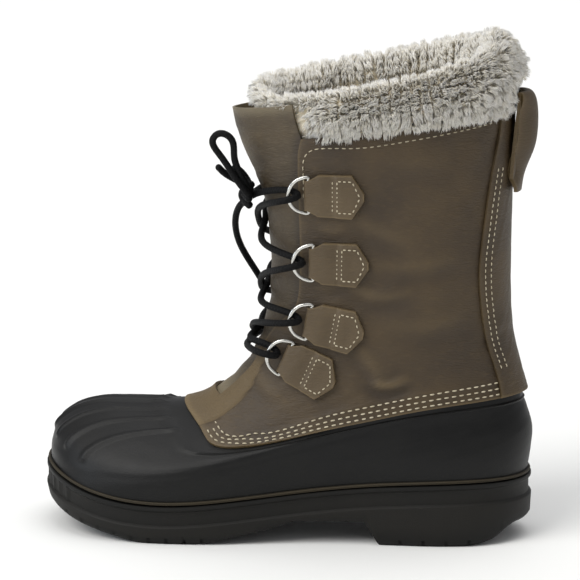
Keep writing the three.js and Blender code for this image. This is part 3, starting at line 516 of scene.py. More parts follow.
def stitches(draft: MeshDraft, path: Array, normal: Array, pitch: float, length: float,
             thick: float = 0.75, tilt: float = 0.0) -> None:
    """Add a row of thread stitches, each a small capsule bent down at its ends.

    Args:
        draft: where they go.
        path: the seam, as a dense line on the surface.
        normal: the surface's outward direction along it.
        pitch: from one stitch to the next.
        length: of one stitch.
        thick: of the thread.
        tilt: how far a stitch turns out of the seam's line, in radians.
    """
    run = np.r_[0, np.cumsum(np.linalg.norm(np.diff(path, axis=0), axis=1))]
    count = max(1, int(run[-1] / pitch))
    middle = (np.arange(count) + 0.5) * run[-1] / count

    def read(table: Array, at: Array) -> Array:
        """The table's value at a run along the seam."""
        return np.stack([np.interp(at, run, table[:, i]) for i in range(3)], -1)

    ahead = unit(read(path, middle + 0.6) - read(path, middle - 0.6))
    up = unit(read(normal, middle))
    aside = np.cross(up, ahead)
    ahead = unit(ahead * np.cos(tilt) + aside * np.sin(tilt))
    aside = np.cross(up, ahead)
    place = np.array([-0.5, -0.4, -0.16, 0.16, 0.4, 0.5])
    width = np.array([0.3, 0.75, 1.0, 1.0, 0.75, 0.3]) * thick / 2
    lift = np.array([-0.9, -0.1, 0.35, 0.35, -0.1, -0.9]) * thick / 2
    turn = np.linspace(0, 2 * np.pi, 6, endpoint=False)
    centre = read(path, middle)[:, None, None] + ahead[:, None, None] * (place * length)[None, :,
        None, None]
    centre = centre + up[:, None, None] * lift[None, :, None, None]
    ring = aside[:, None, None] * np.cos(turn)[None, None, :, None]
    ring = ring + up[:, None, None] * np.sin(turn)[None, None, :, None] * 0.85
    capsules = centre + ring * width[None, :, None, None]
    add_many(draft, capsules)


def add_many(draft: MeshDraft, bodies: Array, **values: Array) -> None:
    """Add many small closed bodies at once, bodies[n, ring, corner], each end closed by a fan."""
    number, rings, sides = bodies.shape[:3]
    per = rings * sides + 2
    points = np.concatenate([bodies.reshape(number, -1, 3), bodies[:, :1].mean(2),
                             bodies[:, -1:].mean(2)], 1)
    j, i = np.arange(rings - 1)[:, None], np.arange(sides)[None]
    n = (i + 1) % sides
    side = np.stack([j * sides + i, j * sides + n, (j + 1) * sides + n, (j + 1) * sides + i], -1)
    k = np.arange(sides)
    m = (k + 1) % sides
    foot = np.stack([m, k, k * 0 + rings * sides, k * 0 + rings * sides], -1)
    base = (rings - 1) * sides
    head = np.stack([base + k, base + m, k * 0 + per - 1, k * 0 + per - 1], -1)
    one = np.concatenate([side.reshape(-1, 4), foot, head])
    faces = (one[None] + (np.arange(number) * per)[:, None, None]).reshape(-1, 4)
    flat = {key: np.repeat(v, per) for key, v in values.items()}
    draft.add(points.reshape(-1, 3), faces, np.zeros((len(faces), 4, 2)), **flat)



def colour(code: str) -> tuple[float, float, float, float]:
    """An sRGB hex colour as linear RGBA."""
    parts = [int(code[i : i + 2], 16) / 255 for i in (1, 3, 5)]
    linear = [c / 12.92 if c <= 0.04045 else ((c + 0.055) / 1.055) ** 2.4 for c in parts]
    return (*linear, 1.0)


def per_metre(size_mm: float) -> float:
    """A pattern's scale on coordinates in metres, for features of a size in millimetres."""
    return 1.0 / (size_mm * MM)


def add_node(tree: bpy.types.NodeTree, kind: str, inputs: dict | None = None,
        **settings: object) -> bpy.types.Node:
    """Add a node with its settings, and link or set its inputs."""
    made = tree.nodes.new(kind)
    for name, value in settings.items():
        setattr(made, name, value)
    for name, value in (inputs or {}).items():
        socket = made.inputs[name]
        if isinstance(value, bpy.types.NodeSocket):
            tree.links.new(value, socket)
        else:
            socket.default_value = value
    return made


def object_place(tree: bpy.types.NodeTree) -> bpy.types.NodeSocket:
    """The piece's own coordinates, in metres."""
    return add_node(tree, "ShaderNodeTexCoord").outputs["Object"]


def attribute(tree: bpy.types.NodeTree, name: str) -> bpy.types.NodeSocket:
    """A mesh attribute's value."""
    return add_node(tree, "ShaderNodeAttribute", attribute_name=name).outputs["Fac"]


def noise(tree: bpy.types.NodeTree, place: bpy.types.NodeSocket, size_mm: float, detail: float,
          roughness: float = 0.5) -> bpy.types.NodeSocket:
    """Cloudy noise from 0 to 1, with features of a size in millimetres."""
    inputs = {"Vector": place, "Scale": per_metre(size_mm), "Detail": detail,
        "Roughness": roughness}
    return add_node(tree, "ShaderNodeTexNoise", inputs).outputs["Fac"]


def ranged(tree: bpy.types.NodeTree, value: bpy.types.NodeSocket, to: tuple[float, float],
           source: tuple[float, float] = (0.0, 1.0)) -> bpy.types.NodeSocket:
    """A value carried from one range to another."""
    inputs = {"Value": value, "From Min": source[0], "From Max": source[1], "To Min": to[0],
        "To Max": to[1]}
    return add_node(tree, "ShaderNodeMapRange", inputs).outputs[0]


def relief(tree: bpy.types.NodeTree, shader: bpy.types.Node, height: bpy.types.NodeSocket,
           strength: float, distance: float) -> None:
    """Bump the shader's normal by a height, distance in metres."""
    inputs = {"Height": height, "Strength": strength, "Distance": distance}
    bump = add_node(tree, "ShaderNodeBump", inputs)
    tree.links.new(bump.outputs[0], shader.inputs["Normal"])


def new_material(name: str) -> tuple[bpy.types.Material, bpy.types.NodeTree, bpy.types.Node]:
    """A material with its tree and its shader."""
    made = bpy.data.materials.new(name)
    made.use_nodes = True
    return made, made.node_tree, made.node_tree.nodes["Principled BSDF"]


@dataclass(frozen=True)
class OiledLeather:
    """Full-grain oiled leather: waxy, a soft sheen, level grain wrinkles, paler where it bends."""

    name: str
    base: str = "#43341c"
    # a darker tone for the blotches, also laid on as painted shade in creases and along edges
    shade: str = "#2d2111"
    # the paler tone of rubbed places and streaks, also used as a painted highlight on the throat's
    # edges
    worn_and_highlight: str = "#715f3f"
    grain: tuple = (1.0, 1.0, 3.4)  # the pattern is squeezed along z, so that wrinkles run level
    pebble_mm: float = 1.5
    roughness: float = 0.56

    def build(self) -> bpy.types.Material:
        """Make the material: pebble and wrinkle bump, colour by noise, painted shade in the troughs,
        and a paler tone where rubbed, partly a painted highlight.
        """
        made, tree, shader = new_material(self.name)
        place = object_place(tree)
        squeezed = add_node(tree, "ShaderNodeMapping",
            {"Vector": place, "Scale": self.grain}).outputs[0]
        blotch = noise(tree, place, 34, 3.0)
        fine = noise(tree, squeezed, 5.5, 5.0, 0.62)
        pebble = add_node(tree, "ShaderNodeTexVoronoi",
            {"Vector": squeezed, "Scale": per_metre(self.pebble_mm * 1.6)},
            feature="SMOOTH_F1").outputs["Distance"]
        trough = attribute(tree, "trough")
        wear = attribute(tree, "wear")
        share = ranged(tree, blotch, (0.0, 0.75), (0.35, 0.68))
        tone_out = mixed(tree, share, colour(self.base), colour(self.shade))
        streak = ranged(tree, fine, (0.0, 0.16), (0.52, 0.74))
        tone_out = mixed(tree, streak, tone_out, colour(self.worn_and_highlight))
        # painted shade: the shade colour laid where the creases hollow and along edges where pieces
        # meet
        tone_out = mixed(tree, trough, tone_out, colour(self.shade))
        # paler where rubbed, and on the throat's cut edges partly a painted highlight
        tone_out = mixed(tree, wear, tone_out, colour(self.worn_and_highlight))
        tree.links.new(tone_out, shader.inputs["Base Color"])
        rough = ranged(tree, fine, (self.roughness - 0.1, self.roughness + 0.14))
        tree.links.new(rough, shader.inputs["Roughness"])
        height = add_node(tree, "ShaderNodeMath", {0: pebble, 1: 0.45},
            operation="MULTIPLY").outputs[0]
        height = add_node(tree, "ShaderNodeMath", {0: fine, 1: height}, operation="ADD").outputs[0]
        relief(tree, shader, height, 0.5, 0.0011)
        return made


def mixed(tree: bpy.types.NodeTree, share: object, first: object,
        second: object) -> bpy.types.NodeSocket:
    """A colour between two, by a share."""
    made = tree.nodes.new("ShaderNodeMix")
    made.data_type = "RGBA"
    sockets = [made.inputs[0], made.inputs[6], made.inputs[7]]
    for socket, value in zip(sockets, (share, first, second)):
        if isinstance(value, bpy.types.NodeSocket):
            tree.links.new(value, socket)
        else:
            socket.default_value = value
    return made.outputs[2]


@dataclass(frozen=True)
class MouldedRubber:
    """Compression-moulded natural rubber: near black, a dull satin with a dusty bloom."""

    name: str
    base: str = "#060606"
    bloom: str = "#141412"
    roughness: float = 0.42
    grit_mm: float = 0.9
    relief: float = 0.00025

    def build(self) -> bpy.types.Material:
        """Make the material: a cloudy bloom and a fine moulded grit."""
        made, tree, shader = new_material(self.name)
        place = object_place(tree)
        cloud = noise(tree, place, 38, 5.0, 0.6)
        grit = noise(tree, place, self.grit_mm, 2.0)
        dust = attribute(tree, "dust")
        share = ranged(tree, cloud, (0.0, 0.55), (0.4, 0.75))
        share = add_node(tree, "ShaderNodeMath", {0: share, 1: dust}, operation="ADD",
            use_clamp=True).outputs[0]
        tree.links.new(mixed(tree, share, colour(self.base), colour(self.bloom)),
            shader.inputs["Base Color"])
        rough = ranged(tree, cloud, (self.roughness - 0.1, self.roughness + 0.2))
        tree.links.new(rough, shader.inputs["Roughness"])
        relief(tree, shader, grit, 0.35, self.relief)
        shader.inputs["Specular IOR Level"].default_value = 0.27
        return made


@dataclass(frozen=True)
class PlatedSteel:
    """Nickel-plated steel wire: bright and smooth, with faint draw marks."""

    name: str = "plated_steel_wire"
    base: str = "#dcdbd6"
    roughness: float = 0.2

    def build(self) -> bpy.types.Material:
        """Make the material: a metal with slightly uneven gloss."""
        made, tree, shader = new_material(self.name)
        place = object_place(tree)
        marks = noise(tree, place, 1.6, 4.0)
        rough = ranged(tree, marks, (self.roughness - 0.06, self.roughness + 0.14))
        tree.links.new(rough, shader.inputs["Roughness"])
        tree.links.new(mixed(tree, marks, colour(self.base), colour("#b9b7b0")),
            shader.inputs["Base Color"])
        shader.inputs["Metallic"].default_value = 1.0
        return made


@dataclass(frozen=True)
class BraidedCord:
    """Braided polyester lace: matt black with a woven herringbone of 1.1 mm plaits."""

    name: str = "braided_lace"
    base: str = "#050506"
    ridge: str = "#0c0c0d"
    plait_mm: float = 1.1

    def build(self) -> bpy.types.Material:
        """Make the material: two slanted waves on the cord's own UV map make the braid."""
        made, tree, shader = new_material(self.name)
        place = add_node(tree, "ShaderNodeUVMap", uv_map="UVMap").outputs[0]
        waves = []
        for slant in (1.0, -1.0):
            turned = add_node(tree, "ShaderNodeMapping",
                {"Vector": place, "Rotation": (0.0, 0.0, slant * 0.9)}).outputs[0]
            waves.append(add_node(tree, "ShaderNodeTexWave",
                {"Vector": turned, "Scale": per_metre(self.plait_mm) / 6.28},
                wave_profile="SIN").outputs["Fac"])
        braid = add_node(tree, "ShaderNodeMath", {0: waves[0], 1: waves[1]},
            operation="MULTIPLY").outputs[0]
        tree.links.new(mixed(tree, braid, colour(self.base), colour(self.ridge)),
            shader.inputs["Base Color"])
        relief(tree, shader, braid, 0.6, 0.0004)
        shader.inputs["Roughness"].default_value = 0.72
        shader.inputs["Specular IOR Level"].default_value = 0.2
        return made


@dataclass(frozen=True)
class Fleece:
    """Cream wool pile: soft and matt, near white at the tips, light passing between fibres."""

    name: str
    tip: str = "#fbf8f0"
    root: str = "#e2d9c4"

    def build(self) -> bpy.types.Material:
        """Make the material: tinted by lock, darker towards the roots as painted shade, with sheen and
        soft scattering.
        """
        made, tree, shader = new_material(self.name)
        lock = attribute(tree, "lock")
        height = attribute(tree, "height")
        place = object_place(tree)
        cloud = noise(tree, place, 9, 4.0)
        share = add_node(tree, "ShaderNodeMath", {0: cloud, 1: lock},
            operation="MULTIPLY").outputs[0]
        # darker towards the roots: painted shade down in the pile
        tone = mixed(tree, height, colour(self.root), colour(self.tip))
        tone = mixed(tree, share, tone, colour("#eee6d2"))
        tree.links.new(tone, shader.inputs["Base Color"])
        relief(tree, shader, cloud, 0.6, 0.002)
        shader.inputs["Roughness"].default_value = 0.95
        shader.inputs["Sheen Weight"].default_value = 0.3
        shader.inputs["Subsurface Weight"].default_value = 0.5
        shader.inputs["Subsurface Radius"].default_value = (0.005, 0.0045, 0.0035)
        shader.inputs["Subsurface Scale"].default_value = 1.0
        return made


@dataclass(frozen=True)
class SpunThread:
    """Waxed cotton-wrapped thread: cream, matt, twisted."""

    name: str
    base: str = "#d2c9b2"
    shade: str = "#a3977b"

    def build(self) -> bpy.types.Material:
        """Make the material: soiled here and there along the seam."""
        made, tree, shader = new_material(self.name)
        place = object_place(tree)
        soil = noise(tree, place, 7, 3.0)
        tree.links.new(mixed(tree, soil, colour(self.base), colour(self.shade)),
            shader.inputs["Base Color"])
        shader.inputs["Roughness"].default_value = 0.8
        return made


@dataclass(frozen=True)
class PressedFelt:
    """Pressed wool felt: matt, flecked, with a fibrous surface."""

    name: str = "pressed_felt"
    base: str = "#b9b09c"
    fleck: str = "#8d8676"

    def build(self) -> bpy.types.Material:
        """Make the material: flecks and fibres a millimetre or two long."""
        made, tree, shader = new_material(self.name)
        place = object_place(tree)
        fleck = noise(tree, place, 2.2, 6.0, 0.7)
        tree.links.new(mixed(tree, fleck, colour(self.base), colour(self.fleck)),
            shader.inputs["Base Color"])
        relief(tree, shader, fleck, 0.7, 0.0012)
        shader.inputs["Roughness"].default_value = 0.97
        return made


@dataclass(frozen=True)
class StudioPaper:
    """White studio paper under and behind the boot."""

    name: str = "studio_paper"

    def build(self) -> bpy.types.Material:
        """Make the material."""
        made, _, shader = new_material(self.name)
        shader.inputs["Base Color"].default_value = colour("#f4f4f2")
        shader.inputs["Roughness"].default_value = 0.9
        return made


@dataclass
class Wardrobe:
    """Every finish of the boot, built once."""

    def __post_init__(self) -> None:
        """Build the materials."""
        self.leather = OiledLeather("oiled_leather").build()
        self.tab_leather = OiledLeather("tab_leather", base="#594a33", shade="#43351f",
            pebble_mm=1.2).build()
        self.tongue_leather = OiledLeather("tongue_leather", base="#4b3e28", shade="#2a2013",
            worn_and_highlight="#857a62", pebble_mm=1.8).build()
        self.rubber = MouldedRubber("moulded_rubber").build()
        self.sole_rubber = MouldedRubber("sole_rubber", base="#0a0a08", bloom="#1b1915",
            roughness=0.55, grit_mm=0.7).build()
        self.stripe_rubber = MouldedRubber("stripe_rubber", base="#17140e", bloom="#352e20",
            roughness=0.6).build()
        self.steel = PlatedSteel().build()
        self.lace = BraidedCord().build()
        self.fleece = Fleece("wool_pile").build()
        # the backing beneath the fibres is tinted darker than the pile's tips: painted shade under the
        # pile
        self.fleece_core = Fleece("wool_backing", tip="#e6dcc8", root="#d8cdb6").build()
        self.thread = SpunThread("cream_thread").build()
        self.felt = PressedFelt().build()



@dataclass
class Studio:
    """Camera at the photograph's angle, soft white light and a paper floor."""

    azimuth: float = 7.0
    elevation: float = 10.1
    distance: float = 1.532
    focal_px: float = 1330.4 * 1.85
    image_px: float = 580.0
    target: tuple[float, float, float] = (0.0022, 0.0, 0.150)

    def build(self) -> None:
        """Set up camera, lights, world and floor."""
        a, e = np.radians(self.azimuth), np.radians(self.elevation)
        away = np.array([np.sin(a) * np.cos(e), -np.cos(a) * np.cos(e), np.sin(e)])
        data = bpy.data.cameras.new("camera")
        data.sensor_fit = "HORIZONTAL"
        data.sensor_width = 36.0
        data.lens = 36.0 * self.focal_px / self.image_px
        data.clip_start = 0.05
        camera = bpy.data.objects.new("camera", data)
        camera.location = np.array(self.target) + away * self.distance
        camera.rotation_euler = (np.pi / 2 - e, 0.0, a)
        bpy.context.collection.objects.link(camera)
        bpy.context.scene.camera = camera
        self.sun("key", (-0.62, -0.62, 0.9), 1.7, 38.0, (1.0, 0.985, 0.955))
        self.sun("top", (0.1, 0.15, 1.0), 1.25, 60.0, (1.0, 1.0, 1.0))
        self.strip("toe_strip", (-1.25, -0.55, 0.5), 0.45, 3.2, (0.82, 0.9, 1.0))
        self.world()
        self.floor()

    def sun(self, name: str, away: tuple[float, float, float], power: float, wide: float,
            tint: tuple[float, float, float]) -> None:
        """Add a soft sun shining from a direction, wide degrees across."""
        data = bpy.data.lights.new(name, "SUN")
        data.energy = power
        data.angle = np.radians(wide)
        self.hang(name, data, away, np.zeros(3), tint)

    def strip(self, name: str, place: tuple[float, float, float], size: float, power: float,
              tint: tuple[float, float, float]) -> None:
        """Add a square soft light aimed at the boot."""
        data = bpy.data.lights.new(name, "AREA")
        data.size = size
        data.energy = power
        self.hang(name, data, place, np.array([0.0, 0.0, 0.1]), tint)

    def hang(self, name: str, data: bpy.types.Light, place: tuple[float, float, float], goal: Array,
             tint: tuple[float, float, float]) -> None:
        """Place a light and turn it towards a goal."""
        data.color = tint
        made = bpy.data.objects.new(name, data)
        made.location = place
        aim = goal - np.array(place)
        flat = float(np.hypot(aim[0], aim[1]))
        made.rotation_euler = (np.pi / 2 - np.arctan2(-aim[2], flat), 0.0,
            np.arctan2(-aim[0], aim[1]))
        bpy.context.collection.objects.link(made)

    def world(self) -> None:
        """Surroundings: white behind the boot, dimmer for what lights it."""
        world = bpy.data.worlds.new("studio")
        world.use_nodes = True
        tree = world.node_tree
        dim = tree.nodes["Background"]
        dim.inputs["Color"].default_value = colour("#fbfcff")
        dim.inputs["Strength"].default_value = 0.42
        white = add_node(tree, "ShaderNodeBackground",
            {"Color": colour("#ffffff"), "Strength": 1.0}).outputs[0]
        seen = add_node(tree, "ShaderNodeLightPath").outputs["Is Camera Ray"]
        both = add_node(tree, "ShaderNodeMixShader",
            {0: seen, 1: dim.outputs[0], 2: white}).outputs[0]
        tree.links.new(both, tree.nodes["World Output"].inputs[0])
        bpy.context.scene.world = world

    def floor(self) -> None:
        """A sheet of paper 40 m wide at z = 0."""
        mesh = bpy.data.meshes.new("floor")
        mesh.from_pydata([(-20, -20, 0), (20, -20, 0), (20, 20, 0), (-20, 20, 0)], [],
            [(0, 1, 2, 3)])
        made = bpy.data.objects.new("floor", mesh)
        mesh.materials.append(StudioPaper().build())
        bpy.context.collection.objects.link(made)



@dataclass
class RingStation:
    """Where a ring's bar stands on the outer side of the shaft."""

    angle: float
    row: float
    tilt: float


@dataclass
class Ring:
    """One D-shaped ring with its frame on the shaft: middle, forwards, along the bar, outwards."""

    last: Last
    name: str
    station: RingStation
    side: Side
    wire: float = 2.4
    height: float = 24.0
    reach: float = 11.5
    lift: float = 5.2
    bar_out: float = 5.4

    def __post_init__(self) -> None:
        """Work out the frame."""
        s = self.station
        self.angle = s.angle if self.side < 0 else 2 * np.pi - s.angle
        self.middle = self.last.skin(self.angle, s.row, self.bar_out)
        self.outward = self.last.normal(self.angle, s.row)
        level = unit(np.array([-1.0, 0, 0]) + self.outward * self.outward[0])
        upright = unit(np.cross(level, self.outward))
        upright = upright * (1 if upright[2] > 0 else -1)
        self.forward = level * np.cos(s.tilt) + upright * np.sin(s.tilt)
        along = unit(np.cross(self.forward, self.outward))
        self.along = along * (1 if along[2] > 0 else -1)

    def place(self, ahead: Array | float, up: Array | float, out: Array | float) -> Array:
        """A place in the ring's frame."""
        ahead, up, out = (np.asarray(v, float)[..., None] for v in (ahead, up, out))
        return self.middle + self.forward * ahead + self.along * up + self.outward * out

    def build(self, finish: bpy.types.Material) -> None:
        """Bend the wire: a straight bar and a bow lifted at its front."""
        half = self.height / 2 - self.wire / 2
        turn = np.pi / 2 - np.pi * np.arange(10) / 9
        ahead = (self.reach - self.wire / 2) * np.maximum(np.cos(turn), 0) ** 0.8
        ahead = ahead + 0.6 * np.sin(np.pi * np.arange(10) / 9)
        bow = self.place(ahead, half * np.sin(turn), self.lift * ahead / self.reach)
        bar = self.place(np.zeros(5), np.array([-0.8, -0.4, 0, 0.4, 0.8]) * half, np.zeros(5))
        path = smooth_path(np.concatenate([bar, bow]), 64, closed=True)
        draft = MeshDraft()
        tube(draft, path, self.wire / 2, 12, closed=True)
        made = draft.make(f"steel_ring_{self.name}", finish, 80)
        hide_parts(f"d_ring_{self.name}")


@dataclass
class Laces:
    """One black lace through all rings, with its knot, bow and ends."""

    last: Last
    rings: dict[Side, list[Ring]]
    diameter: float = 4.2
    low: float = -4.3
    high: float = 4.3
    knot_angle: float = np.pi - 0.22
    knot_row: float = 8.08
    knot_out: float = 9.0

    def __post_init__(self) -> None:
        """Find the knot's place in front of the tongue."""
        self.knot = self.last.skin(self.knot_angle, self.knot_row, self.knot_out)

    def under(self, ring: Ring) -> Array:
        """Where the lace passes under the ring's bow."""
        return ring.place(ring.reach - ring.wire / 2 + 0.7, 2.0, ring.lift + self.low)

    def turn(self, ring: Ring) -> Array:
        """Where it turns back inside the ring."""
        return ring.place(ring.reach - ring.wire / 2 - 4.7, 0.0, ring.lift * 0.5)

    def over(self, ring: Ring) -> Array:
        """Where it comes over the bow."""
        return ring.place(ring.reach - ring.wire / 2 + 0.6, -2.0, ring.lift + self.high)

    def drape(self, ring: Ring, share: float, row: float, out: float) -> Array:
        """A place over the tongue, a share of the way from a ring to the middle."""
        start = ring.angle + (0.34 if ring.angle < np.pi else -0.34)
        angle = start + (np.pi - start) * share
        return self.last.skin(angle, ring.station.row + (row - ring.station.row) * share, out)

    def run(self, side: Side) -> list[Array]:
        """The half of the lace that starts on one side of the foot's bar, up to the knot."""
        count = len(self.rings[side])
        here, k = side, count - 1
        foot = self.rings[side][k].station.row - 0.02
        ring = self.rings[here][k]
        places = [self.last.skin(np.pi, foot, 4.2), self.drape(ring, 0.5, foot, 6.5),
            self.over(ring), self.turn(ring), self.under(ring)]
        while k > 0:
            start, goal = self.rings[here][k], self.rings[-here][k - 1]
            row = (start.station.row + goal.station.row) / 2
            top = (k + (side > 0)) % 2 == 0
            lift = 5.8 if top else 1.7
            places += [self.drape(start, 0.5, row, 6.6), self.last.skin(np.pi, row, lift),
                self.drape(goal, 0.5, row, 6.2)]
            places += [self.over(goal), self.turn(goal), self.under(goal)]
            here, k = -here, k - 1
        last_ring = self.rings[here][0]
        places += [self.drape(last_ring, 0.5, last_ring.station.row, 6.0),
            self.knot + np.array([1.0, -here * -1.5, 0.0])]
        return places

    def near_knot(self, places: list) -> Array:
        """Places given ahead of, aside of and above the knot."""
        return self.knot + np.array(places, float) * np.array([-1.0, 1.0, 1.0])

    def cord(self, name: str, places: Array, count: int, nodes: list[str],
             finish: bpy.types.Material) -> bpy.types.Object:
        path = smooth_path(places, count)
        draft = MeshDraft()
        tube(draft, path, self.diameter / 2, 12)
        made = draft.make(name, finish, 80)
        if nodes:
            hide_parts(*nodes)
        return made

    def build(self, finish: bpy.types.Material) -> None:
        """Make both runs, the knot, the bow and the ends."""
        knot = self.knot_piece(finish)
        self.cord("lace_run_outer", np.array(self.run(Side.OUTER)), 260,
            ["lace_crossings"], finish)
        self.cord("lace_run_inner", np.array(self.run(Side.INNER)), 260, [], finish)
        outer = [[0, -9, 1], [7, -13, 11], [16, -15, 25], [21, -18, 35], [16, -20, 40],
            [9, -19, 36], [8, -15, 24], [3, -9.5, 10], [0, -5, 3]]
        inner = [[3, 4, 3], [7, 9, 7], [12, 18, 11], [14, 29, 13], [10, 37, 8], [6, 35, 2],
            [6, 26, 1], [6, 15, 2], [4, 6, 2]]
        stub = [[0, 0, 4], [9, 0, 9], [15, -3, 13], [19, -8, 18]]
        tail = [[3, 3, -3], [9, 10, -9], [13, 22, -22], [11, 35, -38], [4, 46, -54], [-3, 53, -68]]
        short = MeshDraft()
        tube(short, smooth_path(self.near_knot(stub), 40), self.diameter / 2, 12)
        stub_piece = short.make("lace_stub", finish, 80)
        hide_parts("lace_end_outer")
        self.cord("bow_outer", self.near_knot(outer), 90, ["bow_loop_outer"], finish)
        self.cord("bow_inner", self.near_knot(inner), 90, ["bow_loop_inner"], finish)
        self.cord("lace_tail", self.near_knot(tail), 80, ["lace_end_inner"], finish)

    def knot_piece(self, finish: bpy.types.Material) -> bpy.types.Object:
        """The knot: three short lengths wound over each other."""
        lengths = [
            [[0, -9, -1], [3, -4, 0.5], [4, 0, 1], [3, 4, 0.5], [0, 9, -1]],
            [[0, -3, 6.5], [4.5, -1.5, 3], [5.5, 0, -1], [3, 2, -5.5]],
            [[0, 3, 6.5], [4, 2.5, 2], [3.5, -1, -3], [0.5, -3, -6]],
        ]
        draft = MeshDraft()
        for places in lengths:
            tube(draft, smooth_path(self.near_knot(places), 24), self.diameter * 0.56, 12)
        made = draft.make("knot", finish, 80)
        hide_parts("lace_knot")
        return made



@dataclass
class RubberBottom:
    """Rubber shell with its lip and toe ribs, the outsole under it and the stripe between."""

    last: Last
    wall_mm: float = 3.0
    lip_drop: float = 8.0
    lip_height: float = 0.9
    toe_ribs: int = 8
    toe_rib_spread: float = 0.6
    sole_flange: float = 2.6
    band_recess: float = 1.5
    band_top: float = 2.6
    band_height: float = 9.5
    sole_gap: float = 0.6
    arch_height: float = 15.0
    heel_breast: float = 0.317
    lug_depth: float = 4.0
    lug_groove: float = 3.2
    lug_pitch: float = 11.0
    side_ribs: int = 13

    def build(self, wardrobe: Wardrobe) -> None:
        """Make the three pieces."""
        self.shell(wardrobe.rubber)
        self.outsole(wardrobe.sole_rubber)
        self.stripe(wardrobe.stripe_rubber)

    def shell(self, finish: bpy.types.Material) -> None:
        """The shell: the last's surface with a bead under its edge and ribs fanned over the toe."""
        last = self.last
        angle = np.linspace(0, 2 * np.pi, 360, endpoint=False)
        share = np.linspace(0, 1, 56)[:, None]
        top = last.row_from_edge(angle, -self.lip_drop - 3.2)
        lower = share * top
        fine = [last.row_from_edge(angle, d) for d in np.arange(-self.lip_drop - 2.8, 0.01, 0.55)]
        above = [last.edge_row(angle) + 0.36 * s for s in (0.33, 0.66, 1.0)]
        rows = np.concatenate([lower, np.array(fine), np.array(above)])
        a = np.broadcast_to(angle, rows.shape)
        below = (last.edge_row(a) - rows) * ROW_MM
        lip = self.lip_height * bell(below, self.lip_drop, 1.0)
        out = lip + self.ribs(a, rows)
        # the bead round the foot of the shell and soft unevenness of an old moulding
        out = out + 0.5 * bell(rows, 0.0, 0.05) + 0.12 * ripple(a * 6, rows * 2.2)
        outer = last.skin(a, rows, out)
        inner = last.skin(a, rows, -self.wall_mm)
        draft = MeshDraft()
        wall(draft, outer, inner, True,
            dust=0.35 * bell(below, self.lip_drop + 1.6, 0.8) + 0.3 * bell(rows, 0.16, 0.1))
        made = draft.make("rubber_upper", finish, 50)
        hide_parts("rubber_shell")

    def ribs(self, angle: Array, rows: Array) -> Array:
        """Height of the ribs fanned over the toe."""
        last = self.last
        turn = (last.point(angle + 0.01, rows) - last.point(angle - 0.01, rows)) / 0.02
        scale = np.linalg.norm(turn, axis=-1)
        high = np.zeros_like(rows)
        for k in range(self.toe_ribs):
            middle = np.pi + self.toe_rib_spread * (2 * k / (self.toe_ribs - 1) - 1)
            reach = abs(k - (self.toe_ribs - 1) / 2) / ((self.toe_ribs - 1) / 2)
            start, stop = 1.5 - 0.2 * reach, float(last.edge_row(np.array(middle))) - 0.22
            fade = smooth(start - 0.15, start + 0.15,
                rows) * (1 - smooth(stop - 0.12, stop + 0.06, rows))
            high = np.maximum(high, fade * bell((angle - middle) * scale, 0, 1.7))
        return high * 1.4

    def underside(self, x: Array) -> Array:
        """Height of the sole's underside without its arch, at a place along the last."""
        at = [-150, -143, -128, -99, -82, -60, 100, 116, 132, 147]
        high = through_points(at, [21, 15.5, 10, 3.2, 0, 0, 0, 0, 3.48, 12], x)
        return np.maximum(0, high)

    def arch(self, x: Array) -> Array:
        """Height of the arch: up along the waist, down at the heel's breast."""
        breast = 150 - self.heel_breast * 300
        return np.interp(x, [-50, -40, -19, -5, 12, breast, breast + 9],
            [0, 1.4, 6.2, 9.6, self.arch_height, self.arch_height, 0])

    def rim(self, angle: Array, out: Array | float) -> Array:
        """The feather line moved out, seen from above."""
        along = self.last.point(angle + 0.02, 0.0) - self.last.point(angle - 0.02, 0.0)
        flat = unit(np.stack([-along[..., 1], along[..., 0], 0 * along[..., 0]], -1))
        return self.last.point(angle, 0.0) + flat * np.asarray(out, float)[..., None]

    def outsole(self, finish: bpy.types.Material) -> None:
        """The outsole: lip, recessed band with ribs, ledge and treads cut from below."""
        turn = np.linspace(0, 2 * np.pi, 420, endpoint=False)
        angle = turn - 0.1 * np.sin(2 * turn)
        middle = self.last.point(angle, 0.0)
        x = middle[:, 0] - self.last.shift[0]
        rim = middle[:, 2] - self.sole_gap
        foot = np.maximum(self.underside(x), 0)
        lip = rim - self.band_top
        ledge = np.maximum(lip - self.band_height, foot + 5.5)
        flange, recess = self.sole_flange, self.sole_flange - self.band_recess
        rib = np.zeros_like(angle)
        for k in range(self.side_ribs):
            spot = np.pi + (k - (self.side_ribs - 1) / 2) * 0.085
            length = np.linalg.norm(self.last.point(spot + 0.02, 0.0)
                - self.last.point(spot - 0.02, 0.0)) / 0.04
            rib = np.maximum(rib, 1 - smooth(0.9, 1.7, np.abs(angle - spot) * length))
        bump = 0.9 * rib
        profile = [
            (flange - 4, rim), (flange - 0.5, rim), (flange - 0.1, rim - 0.2), (flange, rim - 0.6),
            (flange, lip + 0.4),
            (flange - 0.25, lip), (recess + 0.2, lip - 0.75), (recess + bump, lip - 1.1),
            (recess + bump, (lip + ledge) / 2),
            (recess + bump, ledge + 0.3), (recess + 0.3, ledge), (flange + 0.1, ledge - 0.8),
            (flange + 0.3, ledge - 1.2),
            (flange + 0.3, ledge - 2.0), (flange, (ledge + foot) / 2), (flange - 0.2, foot + 2.8),
            (flange - 1.3, foot + 1.1), (flange - 2.4, foot),
        ]
        rings = np.stack([np.concatenate([self.rim(angle, np.broadcast_to(o, angle.shape))[:, :2],
            np.broadcast_to(z, angle.shape)[:, None]], 1) for o, z in profile])
        draft = MeshDraft()
        dust = np.zeros(rings.shape[:2])
        dust[6:11] = 0.25
        dust[11:15] = 0.5
        draft.grid(rings, round_u=True, dust=dust)
        draft.lid(rings[0], 12, True, dust=0.3)
        draft.lid(rings[-1], 12, False, dust=0.3)
        made = draft.make("outsole_tread", finish, 35)
        self.cut(made)
        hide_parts("outsole")

